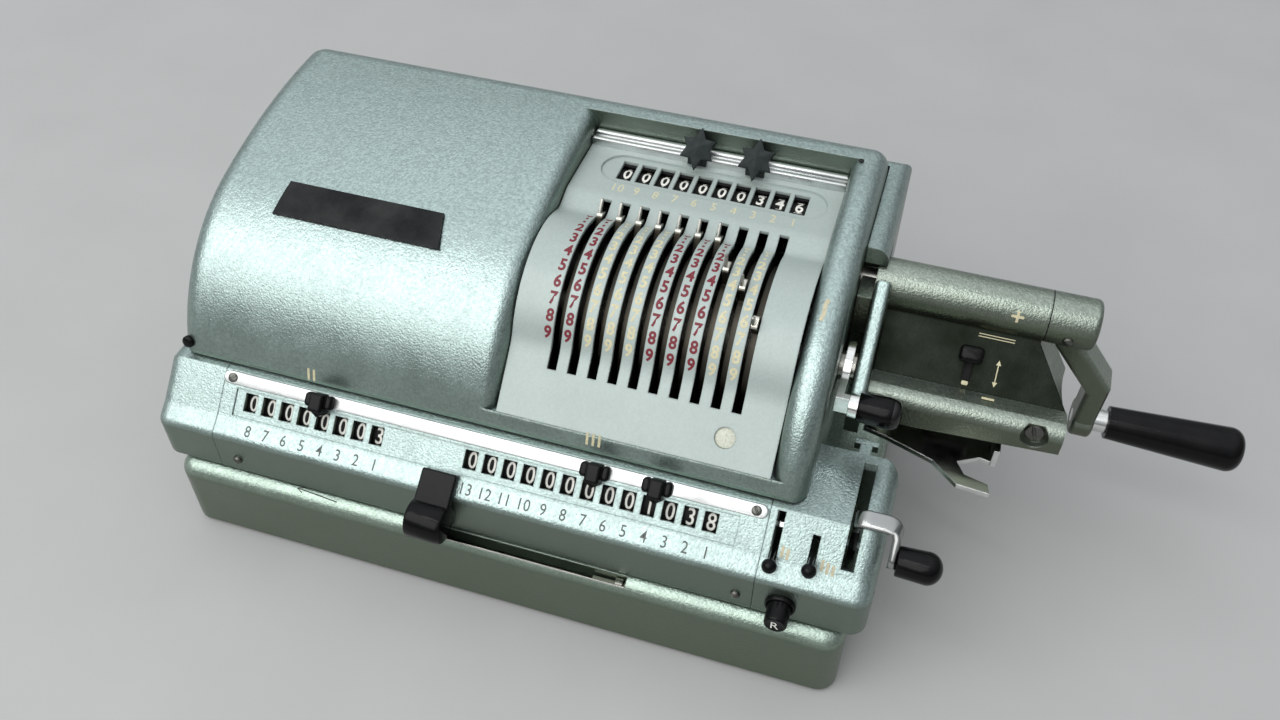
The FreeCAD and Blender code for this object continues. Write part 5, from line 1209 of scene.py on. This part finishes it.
class MACHINE_OT_stage(bpy.types.Operator):
    """Pale floor, soft lights and the camera"""

    bl_idname = "machine.stage"
    bl_label = "Stage"

    def floor(self, scene):
        tree, shader = new_material("pale_floor", (0.7, 0.7, 0.69))
        cloud = noise(scaled_place(tree, 60.0), 4.0)[0]
        fill(shader.inputs, {
            "Base Color": blend(cloud, *FLOOR_TONES),
            "Roughness": spread(cloud, 0.3, 0.7, 0.55, 0.7),
        })
        bm = bmesh.new()
        bmesh.ops.create_grid(bm, x_segments=2, y_segments=2, size=FLOOR_HALF)
        mesh = bpy.data.meshes.new("floor")
        bm.to_mesh(mesh)
        bm.free()
        mesh.materials.append(FINISHES["pale_floor"])
        floor = bpy.data.objects.new("floor", mesh)
        scene.collection.objects.link(floor)

    def sky(self, scene):
        """Dim at the horizon, bright overhead and stronger on the left."""
        world = bpy.data.worlds.new("studio")
        world.use_nodes = True
        tree = world.node_tree
        way = tree.nodes.new("ShaderNodeTexCoord").outputs["Generated"]
        height = component(way, "Z")
        horizon, middle, top = SKY_TONES
        low = blend(spread(height, 0.0, 0.6), horizon, middle)
        fill(tree.nodes["Background"].inputs, {
            "Color": blend(spread(height, 0.6, 0.92), low, top),
            "Strength": spread(component(way, "X"), -0.3, 0.9, 1.05, 0.6),
        })
        scene.world = world

    def light(self, scene, name, place, target, size, power, colour):
        lamp = bpy.data.lights.new(name, "AREA")
        lamp.shape = "RECTANGLE"
        lamp.size, lamp.size_y = size
        lamp.energy = power
        lamp.color = colour
        obj = bpy.data.objects.new(name, lamp)
        obj.location = place
        obj.rotation_euler = (Vector(target) - Vector(place)).to_track_quat("-Z", "Y").to_euler()
        scene.collection.objects.link(obj)

    def camera(self, scene):
        data = bpy.data.cameras.new("camera")
        data.sensor_width = CAMERA_SENSOR
        data.lens = CAMERA_LENS
        data.clip_start = 0.01
        camera = bpy.data.objects.new("camera", data)
        yaw, dip, roll = (radians(a) for a in CAMERA_TURNS_DEG)
        ahead = Vector((-sin(yaw) * cos(dip), cos(yaw) * cos(dip), -sin(dip)))
        right = Vector((cos(yaw), sin(yaw), 0))
        down = ahead.cross(right)
        across = cos(roll) * right + sin(roll) * down
        up = sin(roll) * right - cos(roll) * down
        turn = Matrix((across, up, -ahead)).transposed().to_4x4()
        camera.matrix_world = Matrix.Translation(at(*CAMERA_PLACE)) @ turn
        scene.collection.objects.link(camera)
        scene.camera = camera

    def execute(self, context):
        scene = context.scene
        scene.view_settings.view_transform = "Standard"
        self.floor(scene)
        self.sky(scene)
        for name, values in LIGHTS.items():
            self.light(scene, name, *values)
        self.camera(scene)
        return {"FINISHED"}


STEPS = (
    MACHINE_OT_finishes, MACHINE_OT_setting_figures, MACHINE_OT_dial_figures, MACHINE_OT_windows, MACHINE_OT_rails,
    MACHINE_OT_riders, MACHINE_OT_casing_trim, MACHINE_OT_base_trim, MACHINE_OT_levers, MACHINE_OT_housing_trim,
    MACHINE_OT_stage,
)


class MACHINE_PT_panel(bpy.types.Panel):
    """Colours, sizes and steps of the machine's look"""

    bl_label = "Adding machine"
    bl_idname = "MACHINE_PT_panel"
    bl_space_type = "VIEW_3D"
    bl_region_type = "UI"
    bl_category = "Machine"

    def draw(self, context):
        for group in (context.scene.machine_colours, context.scene.machine_sizes):
            for name in group.__annotations__:
                self.layout.prop(group, name)
        for step in STEPS:
            self.layout.operator(step.bl_idname)


CLASSES = (MachineColours, MachineSizes, *STEPS, MACHINE_PT_panel)


def register():
    for cls in CLASSES:
        bpy.utils.register_class(cls)
    bpy.types.Scene.machine_colours = PointerProperty(type=MachineColours)
    bpy.types.Scene.machine_sizes = PointerProperty(type=MachineSizes)


def unregister():
    del bpy.types.Scene.machine_sizes
    del bpy.types.Scene.machine_colours
    for cls in reversed(CLASSES):
        bpy.utils.unregister_class(cls)


def main():
    register()
    for step in STEPS:
        group, name = step.bl_idname.split(".")
        getattr(getattr(bpy.ops, group), name)()
    bpy.context.view_layer.update()


if __name__ == "__main__":
    main()
